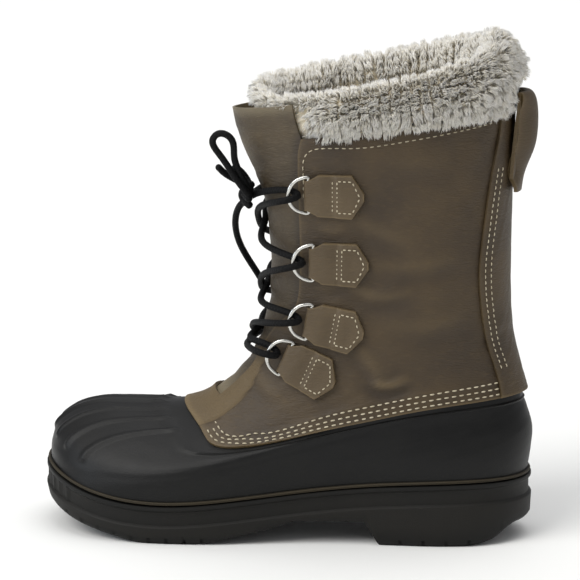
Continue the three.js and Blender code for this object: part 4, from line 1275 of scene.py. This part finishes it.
    def prism(self, outline: Array, width: float, name: str) -> bpy.types.Object:
        """A cutter: an outline in x and z carried across the boot."""
        flat = np.array(outline, float) + [self.last.shift[0], 0]
        near = np.stack([flat[:, 0], flat[:, 0] * 0 - width / 2, flat[:, 1]], 1)
        far = near * [1, -1, 1]
        count = len(flat)
        points = np.concatenate([near, far]) * MM
        sides = [(i, (i + 1) % count, count + (i + 1) % count, count + i) for i in range(count)]
        mesh = bpy.data.meshes.new(name)
        mesh.from_pydata(points.tolist(), [],
            [tuple(range(count))[::-1], tuple(range(count, 2 * count)), *sides])
        mesh.validate()
        made = bpy.data.objects.new(name, mesh)
        bpy.context.collection.objects.link(made)
        return made

    def cut(self, sole: bpy.types.Object) -> None:
        """Cut the arch and the treads out of the sole."""
        breast = 150 - self.heel_breast * 300
        arch = [(-50, -6), (-50, 0), (-40, 1.4), (-19, 6.2), (-5, 9.6), (12, self.arch_height),
            (breast, self.arch_height), (breast + 9, 0), (breast + 9, -6)]
        cutters = [(arch, 160.0)]
        half, slope = self.lug_groove / 2, self.lug_groove / 2 - 0.6
        for x in [*np.arange(-132, -30, self.lug_pitch),
                *np.arange(breast + 22, 130, self.lug_pitch + 3)]:
            top = float(self.underside(np.array(x))) + self.lug_depth
            cutters.append(([(x - half, -6), (x + half, -6), (x + slope, top), (x - slope, top)],
                160.0))
        cutters.append(([(-116, -6), (-34, -6), (-34, 3), (-82, 3), (-116, 10)], self.lug_groove))
        cutters.append(([(breast + 14, -6), (122, -6), (122, 3), (breast + 14, 3)],
            self.lug_groove))
        blades = []
        for i, (outline, width) in enumerate(cutters):
            blade = self.prism(np.array(outline), width, f"cutter_{i}")
            modifier = sole.modifiers.new(f"cut_{i}", "BOOLEAN")
            modifier.operation = "DIFFERENCE"
            modifier.solver = "MANIFOLD"
            modifier.object = blade
            blades.append(blade)
        bpy.context.view_layer.update()
        shape = bpy.data.meshes.new_from_object(
            sole.evaluated_get(bpy.context.evaluated_depsgraph_get()))
        sole.modifiers.clear()
        sole.data = shape
        shape.set_sharp_from_angle(angle=np.radians(35))
        for blade in blades:
            bpy.data.objects.remove(blade)
        LOG.info("%s after cutting: %d faces", sole.name, len(shape.polygons))

    def stripe(self, finish: bpy.types.Material) -> None:
        """The tan stripe standing on the sole's lip: a bead with a groove along its middle."""
        angle = np.linspace(0, 2 * np.pi, 360, endpoint=False)
        reach = np.maximum(self.last.point(angle, 0.35)[:, 2] - self.last.point(angle, 0.0)[:, 2],
            0.1)
        section = [(0.4, 0.25), (0.4, 1.3), (0.6, 1.75), (0.95, 1.9), (1.2, 1.72), (1.35, 1.72),
            (1.6, 1.9), (1.95, 1.75), (2.2, 1.3), (2.2, 0.25)]
        rings = np.stack([self.last.skin(angle, 0.35 * v / reach, out) for v, out in section])
        draft = MeshDraft()
        # the tan bloom shows on the bead's two crests; the groove between them and the bead's foot stay
        # near black
        draft.grid(rings, round_u=True, round_v=True,
            dust=np.broadcast_to(np.array([0, 0.5, 0.9, 1, 0.1, 0.1, 1, 0.9, 0.5, 0])[:, None],
            rings.shape[:2]))
        made = draft.make("sole_stripe", finish, 60)
        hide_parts("foxing_stripe")



@dataclass(frozen=True)
class Crease:
    """A soft trough with a ridge beside it, along places given as angle and row."""

    places: tuple
    depth: float
    width: float
    ridge: float = 0.6


@dataclass
class Shaft:
    """The creased leather shaft with its tongue, backstay and pull loop."""

    last: Last
    clearance: float = 0.3
    leather: float = 2.0
    throat_at: tuple = (4.62, 5.1, 5.6, 6.0, 6.35, 6.7, 7.2, 8, 8.6, 9, 9.6)
    throat_open: tuple = (0.34, 0.36, 0.4, 0.44, 0.56, 0.79, 0.834, 0.87, 0.918, 0.987, 1.21)
    creases: tuple = (
        Crease(((1.575, 5.2), (1.467, 4.86), (1.338, 4.74), (1.21, 4.9)), 1.9, 3.6, 0.9),
        Crease(((1.771, 5.95), (1.619, 5.5), (1.521, 5.1)), 1.1, 4.0, 0.7),
        Crease(((1.937, 6.98), (1.727, 6.72), (1.5, 6.62), (1.231, 6.72)), 1.2, 4.5, 0.7),
        Crease(((1.662, 7.05), (1.338, 7.02), (1.0, 7.05), (0.8, 7.1)), 0.9, 5.0, 0.6),
        Crease(((1.859, 7.72), (1.662, 7.5), (1.338, 7.32)), 1.0, 5.0, 0.6),
        Crease(((1.554, 8.36), (1.231, 8.24), (0.9, 8.3)), 0.5, 6.0, 0.5),
        Crease(((1.5, 6.1), (1.124, 5.95), (0.75, 6.1)), 0.9, 6.0, 0.7),
        Crease(((0.68, 5.75), (0.4, 5.7), (0.0, 5.85)), 0.8, 5.5, 0.6),
        Crease(((2.129, 7.62), (1.993, 7.55), (1.793, 7.62)), 0.8, 3.0, 0.6),
        Crease(((2.129, 6.9), (1.993, 6.88), (1.826, 6.95)), 0.8, 3.0, 0.6),
        Crease(((2.164, 6.3), (2.049, 6.22), (1.881, 6.3)), 0.7, 3.0, 0.6),
        Crease(((2.692, 5.35), (2.467, 5.05), (2.164, 4.8)), 0.9, 5.0, 0.8),
        Crease(((4.705, 5.15), (4.856, 4.85), (5.07, 4.85)), 1.6, 4.0, 0.8),
        Crease(((4.476, 6.8), (4.748, 6.6), (5.07, 6.68)), 1.1, 5.0, 0.7),
        Crease(((4.64, 7.3), (4.963, 7.2), (5.4, 7.3)), 0.9, 5.5, 0.6),
        Crease(((4.53, 8.1), (4.856, 8.0), (5.3, 8.15)), 0.6, 6.0, 0.5),
        Crease(((5.177, 6.0), (5.5, 5.9), (5.8, 6.1)), 0.8, 5.5, 0.6),
    )

    def opening(self, row: Array) -> Array:
        """Half angle of the throat at a row."""
        return through_points(list(self.throat_at), list(self.throat_open), row)

    def hollows(self, points: Array) -> Array:
        """Height of the creases at points: minus a bell at each line, plus one beside it."""
        height = np.zeros(points.shape[:-1])
        for crease in self.creases:
            places = np.array([[a, v, 0] for a, v in crease.places], float)
            line = smooth_path(places, 60)
            spots = self.last.skin(line[:, 0], line[:, 1], LEATHER_OUT)
            away = points[..., None, :] - spots
            gap = np.linalg.norm(away, axis=-1)
            near = gap.argmin(-1)
            least = np.take_along_axis(gap, near[..., None], -1)[..., 0]
            above = np.take_along_axis(away[..., 2], near[..., None], -1)[..., 0]
            taper = np.sin(np.pi * (near + 0.5) / len(spots)) ** 0.6
            taper = np.where((near == 0) | (near == len(spots) - 1),
                taper * bell(least, 0, crease.width), taper)
            trough = crease.depth * bell(least, 0, crease.width)
            beside = crease.ridge * crease.depth * bell(least * np.sign(above), crease.width * 1.7,
                crease.width * 0.9)
            height += taper * (beside - trough)
        return height

    def build(self, wardrobe: Wardrobe) -> None:
        """Make the leather pieces."""
        self.quarters(wardrobe.leather)
        self.tongue(wardrobe.tongue_leather)
        self.backstay(wardrobe.leather)
        self.pull_loop(wardrobe.leather)

    def lattice(self) -> tuple[Array, Array, Array, Array]:
        """Angles and rows of the shaft's lattice, and which part is open at the throat."""
        rise = np.linspace(0, 1, 14)[:, None]
        sides = np.linspace(0, 1, 151)
        centre = np.linspace(-1, 1, 25)[1:-1]

        def ring(open_: Array) -> Array:
            """Angles of one row: the front's middle, then round from one edge to the other."""
            outer = np.pi + open_ + (2 * np.pi - 2 * open_) * sides
            return np.concatenate([outer, np.pi + 2 * np.pi + open_ * centre])

        base = ring(self.opening(np.array(4.62)))
        low, high = self.last.edge_row(base), np.full_like(base, 4.62)
        lower = low + (high - low) * rise
        upper_rows = np.linspace(4.62, 9, 96)[1:]
        upper = np.array([ring(self.opening(np.array(v))) for v in upper_rows])
        angles = np.concatenate([np.broadcast_to(base, lower.shape), upper])
        rows = np.concatenate([lower, np.broadcast_to(upper_rows[:, None], upper.shape)])
        return angles, rows, len(lower), len(sides)

    def quarters(self, finish: bpy.types.Material) -> None:
        """The shaft's leather: one wall with creases, its throat open above the vamp."""
        angles, rows, low_count, side_count = self.lattice()
        flat = self.last.skin(angles, rows, LEATHER_OUT)
        folds = self.hollows(flat)
        fold_line = through_points([3.7, 4.5, 5.0, 5.4, 5.75, 6.1],
            [0.62, 0.61, 0.6, 0.575, 0.585, 0.75], rows)
        gap = np.abs((angles % (2 * np.pi)) - np.pi) - fold_line
        lowered = (1 - smooth(-0.004, 0.02, gap)) * (1 - smooth(5.6, 6.0, rows))
        step = 1.1 * bell(gap, 0.035, 0.03) * (1 - smooth(5.7, 6.1, rows)) - 0.9 * lowered
        seam = 0.35 * bell((rows - self.last.edge_row(angles)) * ROW_MM, 15.5, 2.0)
        height = folds + step + seam + 0.22 * ripple(angles * 9,
            rows * 5.1) + 0.12 * ripple(angles * 23, rows * 13)
        outer = self.last.skin(angles, rows, self.clearance + self.leather + height)
        inner = self.last.skin(angles, rows, self.clearance + np.minimum(height, 0) * 0.5)
        # painted shade in the creases' troughs and along the step over the lowered vamp
        trough = np.clip(-folds * 0.45, 0, 0.8) + 0.3 * bell(gap, 0.0, 0.02) * (rows < 5.9)
        lower_edge = bell((rows - self.last.edge_row(angles)) * ROW_MM, 0, 1.6)
        # pale line on the throat's cut edges: the leather's own paler cut edge, partly a painted
        # highlight on the rolled edge
        rim = bell(np.abs((angles % (2 * np.pi)) - np.pi) - self.opening(rows), 0.0,
            0.02) * (rows > 5.9)
        wear = np.clip(0.28 * np.clip(folds, 0, 2) + 0.5 * lower_edge + 0.5 * lowered + 0.4 * rim,
            0, 0.8)
        draft = MeshDraft()
        values = {"trough": trough, "wear": wear}
        self.open_wall(draft, outer, inner, low_count, side_count, values)
        made = draft.make("leather_quarters", finish, 45)
        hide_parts("leather_shaft")

    def open_wall(self, draft: MeshDraft, outer: Array, inner: Array, low: int, side: int,
            values: dict) -> None:
        """A wall that is a ring up to the throat's foot and open above it."""
        draft.grid(outer[:low], round_u=True, **{k: v[:low] for k, v in values.items()})
        draft.grid(inner[:low][::-1], round_u=True, **{k: v[:low][::-1] for k, v in values.items()})
        draft.grid(np.stack([inner[0], outer[0]]), round_u=True,
            **{k: np.stack([v[0], v[0]]) for k, v in values.items()})
        upper = slice(low - 1, None)
        draft.grid(outer[upper, :side], **{k: v[upper, :side] for k, v in values.items()})
        draft.grid(inner[upper, :side][::-1],
            **{k: v[upper, :side][::-1] for k, v in values.items()})
        draft.grid(np.stack([outer[-1, :side], inner[-1, :side]]),
            **{k: np.stack([v[-1, :side]] * 2) for k, v in values.items()})
        for column, turned in ((0, False), (side - 1, True)):
            strip = np.stack([outer[upper, column], inner[upper, column]], 1)
            strip = strip if turned else strip[:, ::-1]
            draft.grid(strip, **{k: np.stack([v[upper, column]] * 2, 1) for k, v in values.items()})
        foot = np.r_[side - 1, np.arange(side, outer.shape[1]), 0]
        sill = np.stack([outer[low - 1, foot], inner[low - 1, foot]])
        draft.grid(sill, **{k: np.stack([v[low - 1, foot]] * 2) for k, v in values.items()})

    def tongue(self, finish: bpy.types.Material) -> None:
        """The tongue: from under the vamp past the collar, its top leaning out, softly creased."""
        rows = np.linspace(4.42, 9.55, 90)
        half = through_points([4.42, 5.4, 6.2, 7, 8, 9.55], [0.6, 0.66, 0.8, 1.04, 1.1, 0.92], rows)
        share = np.linspace(-1, 1, 61)
        angle = np.pi + half[:, None] * share
        row = np.broadcast_to(rows[:, None], angle.shape)
        lean = 10 * smooth(7.6, 9.4, rows)[:, None] * np.maximum(0, 1 - (share / 0.74) ** 2)
        crease = 0.9 * (1 - share**2) * np.sin(row * 11 + 1.4 * share) * bell(row, 6.3, 1.0)
        crease = crease + 0.35 * ripple(row * 8, share * 3)
        crease = np.minimum(crease, 0.25) * (0.3 + 0.7 * (1 - share**4))

        def face(out: Array | float) -> Array:
            """The tongue's lattice at an offset, leaning forwards at its top."""
            points = self.last.skin(angle, row, out)
            points[..., 0] -= lean
            return points

        draft = MeshDraft()
        # painted shadow along the quarters' edges and painted shade in the tongue's creases
        inside = self.opening(row) - np.abs(angle - np.pi)
        shadow = 0.85 * (1 - smooth(-0.01, 0.15, inside)) * (row < 9.1)
        values = {"trough": np.clip(-crease * 0.5, 0, 0.6) + shadow,
            "wear": 0.5 * bell(row, 9.55, 0.12) + 0.6 * bell(row, 4.6, 0.5)}
        wall(draft, face(-0.6 + crease), face(-2.4 + crease), False, **values)
        made = draft.make("leather_tongue", finish, 45)
        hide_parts("tongue")

    def backstay(self, finish: bpy.types.Material) -> None:
        """The strip over the back seam, from the rubber's edge to the collar."""
        share = np.linspace(-1, 1, 61)
        base = self.last.edge_row(0.5 * share)
        rise = np.linspace(0, 1, 14)[:, None]
        low = base + (4.75 - base) * rise
        high = np.broadcast_to(np.linspace(4.75, 9, 84)[1:, None], (83, 61))
        rows = np.concatenate([low, high])
        a = self.stay_half(rows) * share
        flat = self.last.skin(a % (2 * np.pi), rows, LEATHER_OUT)
        folds = np.clip(self.hollows(flat), -0.2, 2)
        edge = 0.6 * bell(np.abs(share), 1.0, 0.05)
        height = folds + 0.15 * ripple(a * 20, rows * 6) - edge
        draft = MeshDraft()
        wear = 0.5 * bell((rows - base) * ROW_MM, 0, 1.5) + 0.3 * edge
        under = self.last.skin(a, rows, 2.6 + folds * (folds > 0))
        wall(draft, self.last.skin(a, rows, 4.6 + height), under, False, trough=0 * wear, wear=wear)
        made = draft.make("back_strip", finish, 45)
        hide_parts("backstay")

    def stay_half(self, row: Array) -> Array:
        """Half angle of the backstay at a row: broad behind the ankle, narrow at both ends."""
        return through_points([4.0, 4.7, 5.6, 6.4, 7.1, 8.1, 9.0],
            [0.5, 0.51, 0.57, 0.63, 0.66, 0.54, 0.4], row)

    def pull_loop(self, finish: bpy.types.Material) -> None:
        """The pull loop: a broad strap bowed round its own length, standing on the backstay."""
        foot = self.last.skin(0.0, 8.11, 4.9)
        line = [[0, 0], [0.9, 12], [2, 24], [3.2, 36], [4, 43], [5, 49], [7, 51.6], [9.5, 50],
            [11.5, 44], [12.1, 33], [10.5, 19], [6.4, 8], [3.9, 0], [2.7, -8]]
        places = [[foot[0] + 1.2 + x, 0.0, foot[2] + z] for x, z in line]
        path = smooth_path(places, 120)
        tangent = unit(np.gradient(path, axis=0))
        out = np.stack([tangent[:, 2], 0 * tangent[:, 0], -tangent[:, 0]], -1)
        share = np.linspace(-1, 1, 31)
        rear = smooth(0.36, 0.62,
            np.linspace(0, 1, 120)) * (1 - smooth(0.86, 1.0, np.linspace(0, 1, 120)))
        half = 17.0
        bow = 8.5 * rear
        y = half * share[None] * (1 - 0.12 * rear[:, None])
        forward = bow[:, None] * np.abs(share[None]) ** 2.4 + 2.2 * share[None] ** 2
        base = np.repeat(path[:, None], len(share), 1)
        base[..., 1] += y
        base[..., 0] -= forward
        aside = np.gradient(base, axis=1)
        along = np.gradient(base, axis=0)
        normal = unit(np.cross(aside, along))
        draft = MeshDraft()
        wear = np.broadcast_to(0.45 * np.abs(share) ** 10, base.shape[:2])
        wall(draft, base + normal * 1.1, base - normal * 1.1, False, wear=wear, trough=0 * wear)
        made = draft.make("pull_strap", finish, 45)
        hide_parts("pull_loop")



@dataclass
class RingTab:
    """A leather strap folded round a ring's bar, its pointed tail stitched to the quarter."""

    last: Last
    ring: Ring
    length: float = 35.5
    nose: float = 8.0

    def outline(self, ahead: Array) -> Array:
        """Half height of the tab at a distance behind the ring's bar."""
        back = -ahead
        places = [-2.9, 1.4, 6, self.length - self.nose, self.length]
        return np.interp(back, places, [8.6, 9.2, 12.6, 13.2, 2.2])

    def draped(self, ahead: Array, up: Array, out: Array) -> Array:
        """Places on the quarter below places in the ring's frame."""
        spots = self.ring.place(ahead, up, np.zeros_like(ahead))
        a, v = self.last.nearest(spots, self.ring.angle, self.ring.station.row)
        return self.last.skin(a, v, out)

    def build(self, finish: bpy.types.Material, thread: MeshDraft) -> None:
        """Make the tab and sew it down."""
        ahead = -np.concatenate([np.linspace(5, self.length - self.nose, 24),
            np.linspace(self.length - self.nose, self.length, 9)[1:]])
        share = np.linspace(-1, 1, 23)
        a2, s2 = np.meshgrid(ahead, share, indexing="ij")
        up = s2 * self.outline(a2)
        ply = 1 - smooth(-17.5, -16.2, a2)
        dome = 3.6 * (1 - smooth(5, 17, -a2))
        puff = 0.5 * (1 - s2**2) * (1 - smooth(20, 26, -a2))
        top = self.draped(a2, up, 4.7 + ply + dome * 0.55 + puff - 0.35 * np.abs(s2) ** 8)
        low = self.draped(a2, up, np.full_like(a2, 2.5))
        turn = np.linspace(0, np.pi, 9)
        wrap_out = [self.ring.place(2.9 * np.sin(t) - 0.2, share * 9.0, 2.9 * np.cos(t))
            for t in turn]
        wrap_in = [self.ring.place(1.3 * np.sin(t) - 0.2, share * 9.0, 1.45 * np.cos(t))
            for t in turn]
        outer = np.concatenate([np.array(wrap_out)[::-1], top])
        inner = np.concatenate([np.array(wrap_in)[::-1], low])
        draft = MeshDraft()
        wear = np.zeros(outer.shape[:2])
        wear[:, [0, -1]] = 0.55
        wear[-1] = 0.55
        wall(draft, outer, inner, False, wear=wear, trough=0 * wear)
        made = draft.make(f"tab_{self.ring.name}", finish, 50)
        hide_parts(f"ring_tab_{self.ring.name}")
        self.sew(thread)

    def sew(self, thread: MeshDraft) -> None:
        """Two upright rows and a pentagon of stitches on the tail."""
        high = 9.6
        tip = self.length - 2.6
        shoulder = -(self.length - self.nose) - 0.5
        pentagon = [(-18.4, -high), (shoulder, -high), (-tip, 0), (shoulder, high), (-18.4, high),
            (-18.4, -high)]
        rows = [pentagon, [(-15.2, -high), (-15.2, high)], [(-12.6, -high), (-12.6, high)]]
        for row in rows:
            corners = np.array(row, float)
            for start, stop in zip(corners[:-1], corners[1:]):
                share = np.linspace(0, 1, 24)[:, None]
                line = start * (1 - share) + stop * share
                level = np.where(line[:, 0] < -17, 5.85, 4.95)
                path = self.draped(line[:, 0], line[:, 1], level)
                above = self.draped(line[:, 0], line[:, 1], level + 1)
                stitches(thread, path, above - path, 2.7, 1.9, 0.8)



@dataclass
class Lining:
    """Felt sock inside the boot and the fleece cuff that rolls over its collar."""

    last: Last
    pile: float = 7.0
    tuft: float = 5.4
    outer_drop: float = 14.0
    seed: int = 7
    front_angles: tuple = (1.98, 2.16)
    bare_below: float = 0.56
    # row, distance off the last, and what the bulge adds behind the throat
    outline: tuple = (
        (8.62, -6.5, 0.0), (8.97, -6.5, 0.0), (9.03, -6.0, 5.0), (9.06, -5.0, 9.5),
        (9.25, -5.0, 12.0),
        (9.5, -5.0, 11.0), (9.7, -6.0, 8.0), (9.86, -8.5, 4.0), (9.84, -12.0, 0.0),
        (9.6, -15.0, 0.0),
        (9.1, -15.0, 0.0), (8.62, -12.5, 0.0),
    )

    def build(self, wardrobe: Wardrobe) -> None:
        """Make the felt and the fleece."""
        self.sock(wardrobe.felt)
        self.cuff(wardrobe.fleece_core, wardrobe.fleece)

    def sock(self, finish: bpy.types.Material) -> None:
        """The felt sock with its own sole, open at the top."""
        angle = np.linspace(0, 2 * np.pi, 120, endpoint=False)
        low = self.last.row_from_edge(angle, -9.6)
        foot = [low * s for s in np.linspace(0.03, 1, 16)]
        heel = [low + (4.9 - low) * s for s in np.linspace(0, 1, 12)[1:]]
        rows = np.concatenate([foot, heel,
            [np.full_like(angle, v) for v in np.linspace(4.9, 8.55, 30)[1:]]])
        a = np.broadcast_to(angle, rows.shape)
        out = -4.8 - 1.2 * smooth(3.8, 5.2, rows) - 0.25 * (1 + ripple(a * 11, rows * 6))
        outside, inside = self.last.skin(a, rows, out), self.last.skin(a, rows, out - 5.6)
        inside[0, :, 2] += 6
        draft = MeshDraft()
        draft.grid(outside, round_u=True)
        draft.grid(inside[::-1], round_u=True)
        draft.grid(np.stack([outside[-1], inside[-1]]), round_u=True)
        draft.lid(outside[0], 10, False)
        draft.lid(inside[0], 10, True)
        made = draft.make("felt_sock", finish, 60)
        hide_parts("liner")

    def section(self, angle: Array, t: Array) -> tuple[Array, Array]:
        """The cuff's own section, rolled over the collar.

        Args:
            angle: round the boot.
            t: place round the section, 0 to 1 from inside the collar over the roll and back.

        Returns:
            Rows and offsets: a closed cubic through the outline, bulging behind the throat alone.
        """
        table = np.array(self.outline, float)
        count = len(table)
        k = np.floor(t * count).astype(int) % count
        f = ((t * count) % 1.0)[..., None]
        p = [table[(k + i) % count] for i in (-1, 0, 1, 2)]
        bend = 3 * (p[1] - p[2]) + p[3] - p[0]
        value = p[1] + 0.5 * f * (p[2] - p[0]
            + f * (2 * p[0] - 5 * p[1] + 4 * p[2] - p[3] + f * bend))
        back = np.abs(np.where(angle > np.pi, 2 * np.pi - angle, angle))
        low = 1 - smooth(9.3, 9.55, value[..., 0])
        bulge = (1 - smooth(1.8, 2.12, back)) * (1 - 0.62 * bell(back, 0, 0.34) * low)
        return value[..., 0], value[..., 1] + bulge * np.maximum(value[..., 2], 0)

    def surface(self, angle: Array, t: Array) -> Array:
        """Points of the cuff's backing: the section on the last, its rim lower on the outer side."""
        row, out = self.section(angle, t)
        lump = 0.9 * ripple(angle * 9, t * 17) + 0.6 * ripple(angle * 19, t * 37)
        points = self.last.skin(angle, row, out + lump)
        drop = self.outer_drop * smooth(9.1, 9.8, row) * np.sqrt(np.maximum(0, np.sin(angle)))
        points[..., 2] -= drop
        return points

    def cuff(self, core_finish: bpy.types.Material, pile_finish: bpy.types.Material) -> None:
        """The fleece: a lumpy backing ring with tens of thousands of fibres in tufts."""
        angle = np.linspace(0, 2 * np.pi, 300, endpoint=False)
        t = np.linspace(0, 1, 90, endpoint=False)
        a, s = np.meshgrid(angle, t)
        draft = MeshDraft()
        draft.grid(self.surface(a, s), round_u=True, round_v=True, lock=0.4, height=0.25)
        core = draft.make("fleece_backing", core_finish, 70)
        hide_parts("fleece_cuff")
        zones = {"pile_foot": (0.12, 0.3), "pile_outer": (0.28, 0.48), "pile_top": (0.46, 0.66),
                 "pile_inner": (0.64, 0.84)}
        for index, (name, (low, high)) in enumerate(zones.items()):
            self.fibres(name, low, high, 15500, pile_finish, index)

    def outward(self, angle: Array, t: Array) -> tuple[Array, Array, Array, Array]:
        """Places on the backing with their directions: outwards, round the boot, round the section."""
        place = self.surface(angle, t)
        around = unit(self.surface(angle + 0.01, t) - self.surface(angle - 0.01, t))
        along = unit(self.surface(angle, t + 0.004) - self.surface(angle, t - 0.004))
        return place, unit(np.cross(along, around)), around, along

    def fibres(self, name: str, low: float, high: float, count: int, finish: bpy.types.Material,
               index: int) -> None:
        """Fibres over one zone of the cuff, gathered in tufts.

        A jittered lattice of tufts covers the zone. A fibre's tip lies part of the way to its
        tuft's tip, which leans with a slow wave and is combed back along the section. The lower
        zones have no fibres behind the tongue.

        Args:
            name: the piece's name.
            low: where the zone starts round the section.
            high: where it ends.
            count: fibres, before those behind the tongue are dropped.
            finish: the pile's material.
            index: the zone's number, for random draws of its own.
        """
        random = np.random.default_rng(self.seed + index)
        angle = random.uniform(0, 2 * np.pi, count)
        t = random.uniform(low, high, count)
        front = smooth(*self.front_angles, np.minimum(angle, 2 * np.pi - angle))
        kept = random.uniform(0, 1, count) >= front * (t < self.bare_below)
        angle, t = angle[kept], t[kept]
        count = len(angle)
        root, normal, around, along = self.outward(angle, t)
        wide, tall = 2 * np.pi * 72 / self.tuft, 12 * 13 / self.tuft
        i, j = np.floor(angle / (2 * np.pi) * wide), np.floor(t * tall)
        jitter = [np.sin(i * 127.1 + j * 311.7 + k) * 43758.5453 % 1.0 for k in (0.0, 5.3, 9.1)]
        centre_angle = (i + 0.15 + 0.7 * jitter[0]) / wide * 2 * np.pi
        centre_t = (j + 0.15 + 0.7 * jitter[1]) / tall
        tuft, up, beside, over = self.outward(centre_angle, centre_t)
        lean = 0.45 * np.sin(centre_angle * 17 + 13 * centre_t) + 0.5 * (jitter[2] - 0.5)
        rise = 0.35 * np.sin(centre_angle * 11 - 23 * centre_t) + 0.4 * (jitter[0] - 0.5)
        long = self.pile * (0.85 + 0.35 * jitter[1])
        aim = unit(up + 0.5 * lean[:, None] * beside + (0.4 * rise[:, None] - 0.8) * over)
        goal = tuft + aim * long[:, None]
        own = root + unit(normal + 0.3 * lean[:, None] * around - 0.75 * along) * long[:, None]
        gather = random.uniform(0.25, 0.65, count)[:, None]
        tip = own * (1 - gather) + goal * gather + random.normal(0, 0.4, (count, 3))
        middle = root * 0.52 + tip * 0.48 + normal * (0.1 * long)[:, None]
        start = root - normal * 0.8
        turn = np.linspace(0, 2 * np.pi, 3, endpoint=False)[None] + random.uniform(0, 2, count)[:,
            None]
        ring = around[:, None] * np.cos(turn)[..., None] + along[:, None] * np.sin(turn)[..., None]
        rings = np.stack([start[:, None] + 0.42 * ring, middle[:, None] + 0.38 * ring], 1)
        draft = MeshDraft()
        add_spikes(draft, rings, tip, lock=jitter[2], height=np.array([0.0, 0.55, 1.0]))
        made = draft.make(name, finish, 180)


def add_spikes(draft: MeshDraft, rings: Array, tips: Array, lock: Array, height: Array) -> None:
    """Add many three-sided fibres, rings[n, 2, 3] and tips[n], each a closed spike of ten triangles."""
    number = len(tips)
    points = np.concatenate([rings.reshape(number, 6, 3), tips[:, None]], 1)
    one = np.array([[0, 1, 4, 3], [1, 2, 5, 4], [2, 0, 3, 5], [3, 4, 6, 6], [4, 5, 6, 6],
        [5, 3, 6, 6],
                    [2, 1, 0, 0]])
    faces = (one[None] + (np.arange(number) * 7)[:, None, None]).reshape(-1, 4)
    levels = np.tile(np.r_[np.repeat(height[:2], 3), height[2]], number)
    draft.add(points.reshape(-1, 3), faces, np.zeros((len(faces), 4, 2)), lock=np.repeat(lock, 7),
              height=levels)



def on_side(places: list, mirrored: bool) -> list:
    """Places given for the outer side, carried to the inner side when mirrored."""
    return [(2 * np.pi - a if mirrored else a, v) for a, v in places]


@dataclass
class Seams:
    """Every row of stitches on the shaft."""

    last: Last
    shaft: Shaft

    def line(self, thread: MeshDraft, places: list, out: float, pitch: float, length: float,
             thick: float = 0.8, tilt: float = 0.0) -> None:
        """A row of stitches through places given as angle and row, on the creased leather."""
        spots = smooth_path([[a, v, 0.0] for a, v in places], max(60, 30 * len(places)))
        angle, row = spots[:, 0], spots[:, 1]
        flat = self.last.skin(angle, row, LEATHER_OUT)
        height = self.shaft.hollows(flat) if out < 4 else np.clip(self.shaft.hollows(flat), -0.2, 2)
        path = self.last.skin(angle, row, out + height + 0.22 * ripple(angle * 9, row * 5.1))
        stitches(thread, path, self.last.normal(angle, row), pitch, length, thick, tilt)

    def build(self, thread: MeshDraft) -> None:
        """Sew the foot of the shaft, the collar, the throat and the backstay."""
        for distance in (3.4, 7.6, 11.8):
            around = np.linspace(0.42, 2 * np.pi - 0.42, 240)
            around = around[np.abs(around - np.pi) > 0.62]
            for part in (around[around < np.pi], around[around > np.pi]):
                rows = self.last.row_from_edge(part, distance)
                self.line(thread, list(zip(part, rows)), 2.45 + (0.35 if distance > 11 else 0),
                    4.6, 2.9, 0.95)
        for mirrored in (False, True):
            collar = [(0.5, 8.9), (0.8, 8.87), (1.34, 8.81), (1.72, 8.79), (2.02, 8.83),
                (2.12, 8.76), (2.165, 8.62), (2.185, 8.4), (2.215, 8.05)]
            self.line(thread, on_side(collar, mirrored), 2.45, 4.2, 2.6, 0.7)
            for inset in (0.06, 0.135):
                heights = np.linspace(4.9, 8.3, 9)
                stay = list(zip(self.shaft.stay_half(heights) - inset, heights))
                self.line(thread, on_side(stay, mirrored), 4.75, 3.6, 2.2, 0.75, 0.0)


def main() -> None:
    """Build the boot piece by piece."""
    logging.basicConfig(level=logging.INFO, format="%(message)s")
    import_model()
    Studio().build()
    bpy.context.scene.view_settings.view_transform = "Standard"
    last = Last()
    last.settle(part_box("foxing_stripe"))
    LOG.info("the last stands at %s", last.shift)
    wardrobe = Wardrobe()
    stations = [RingStation(2.14, 8.12, 0.0), RingStation(2.14, 7.3, 0.02),
        RingStation(2.15, 6.5, 0.2), RingStation(2.29, 5.86, 0.46)]
    rings = {side: [Ring(last, f"{side.name.lower()}_{k + 1}", s, side) for k,
        s in enumerate(stations)] for side in Side}
    Laces(last, rings).build(wardrobe.lace)
    RubberBottom(last).build(wardrobe)
    shaft = Shaft(last)
    shaft.build(wardrobe)
    thread = MeshDraft()
    for ring in [*rings[Side.OUTER], *rings[Side.INNER]]:
        ring.build(wardrobe.steel)
        RingTab(last, ring).build(wardrobe.tab_leather, thread)
    Seams(last, shaft).build(thread)
    made = thread.make("stitching", wardrobe.thread, 70)
    Lining(last).build(wardrobe)


if __name__ == "__main__":
    main()
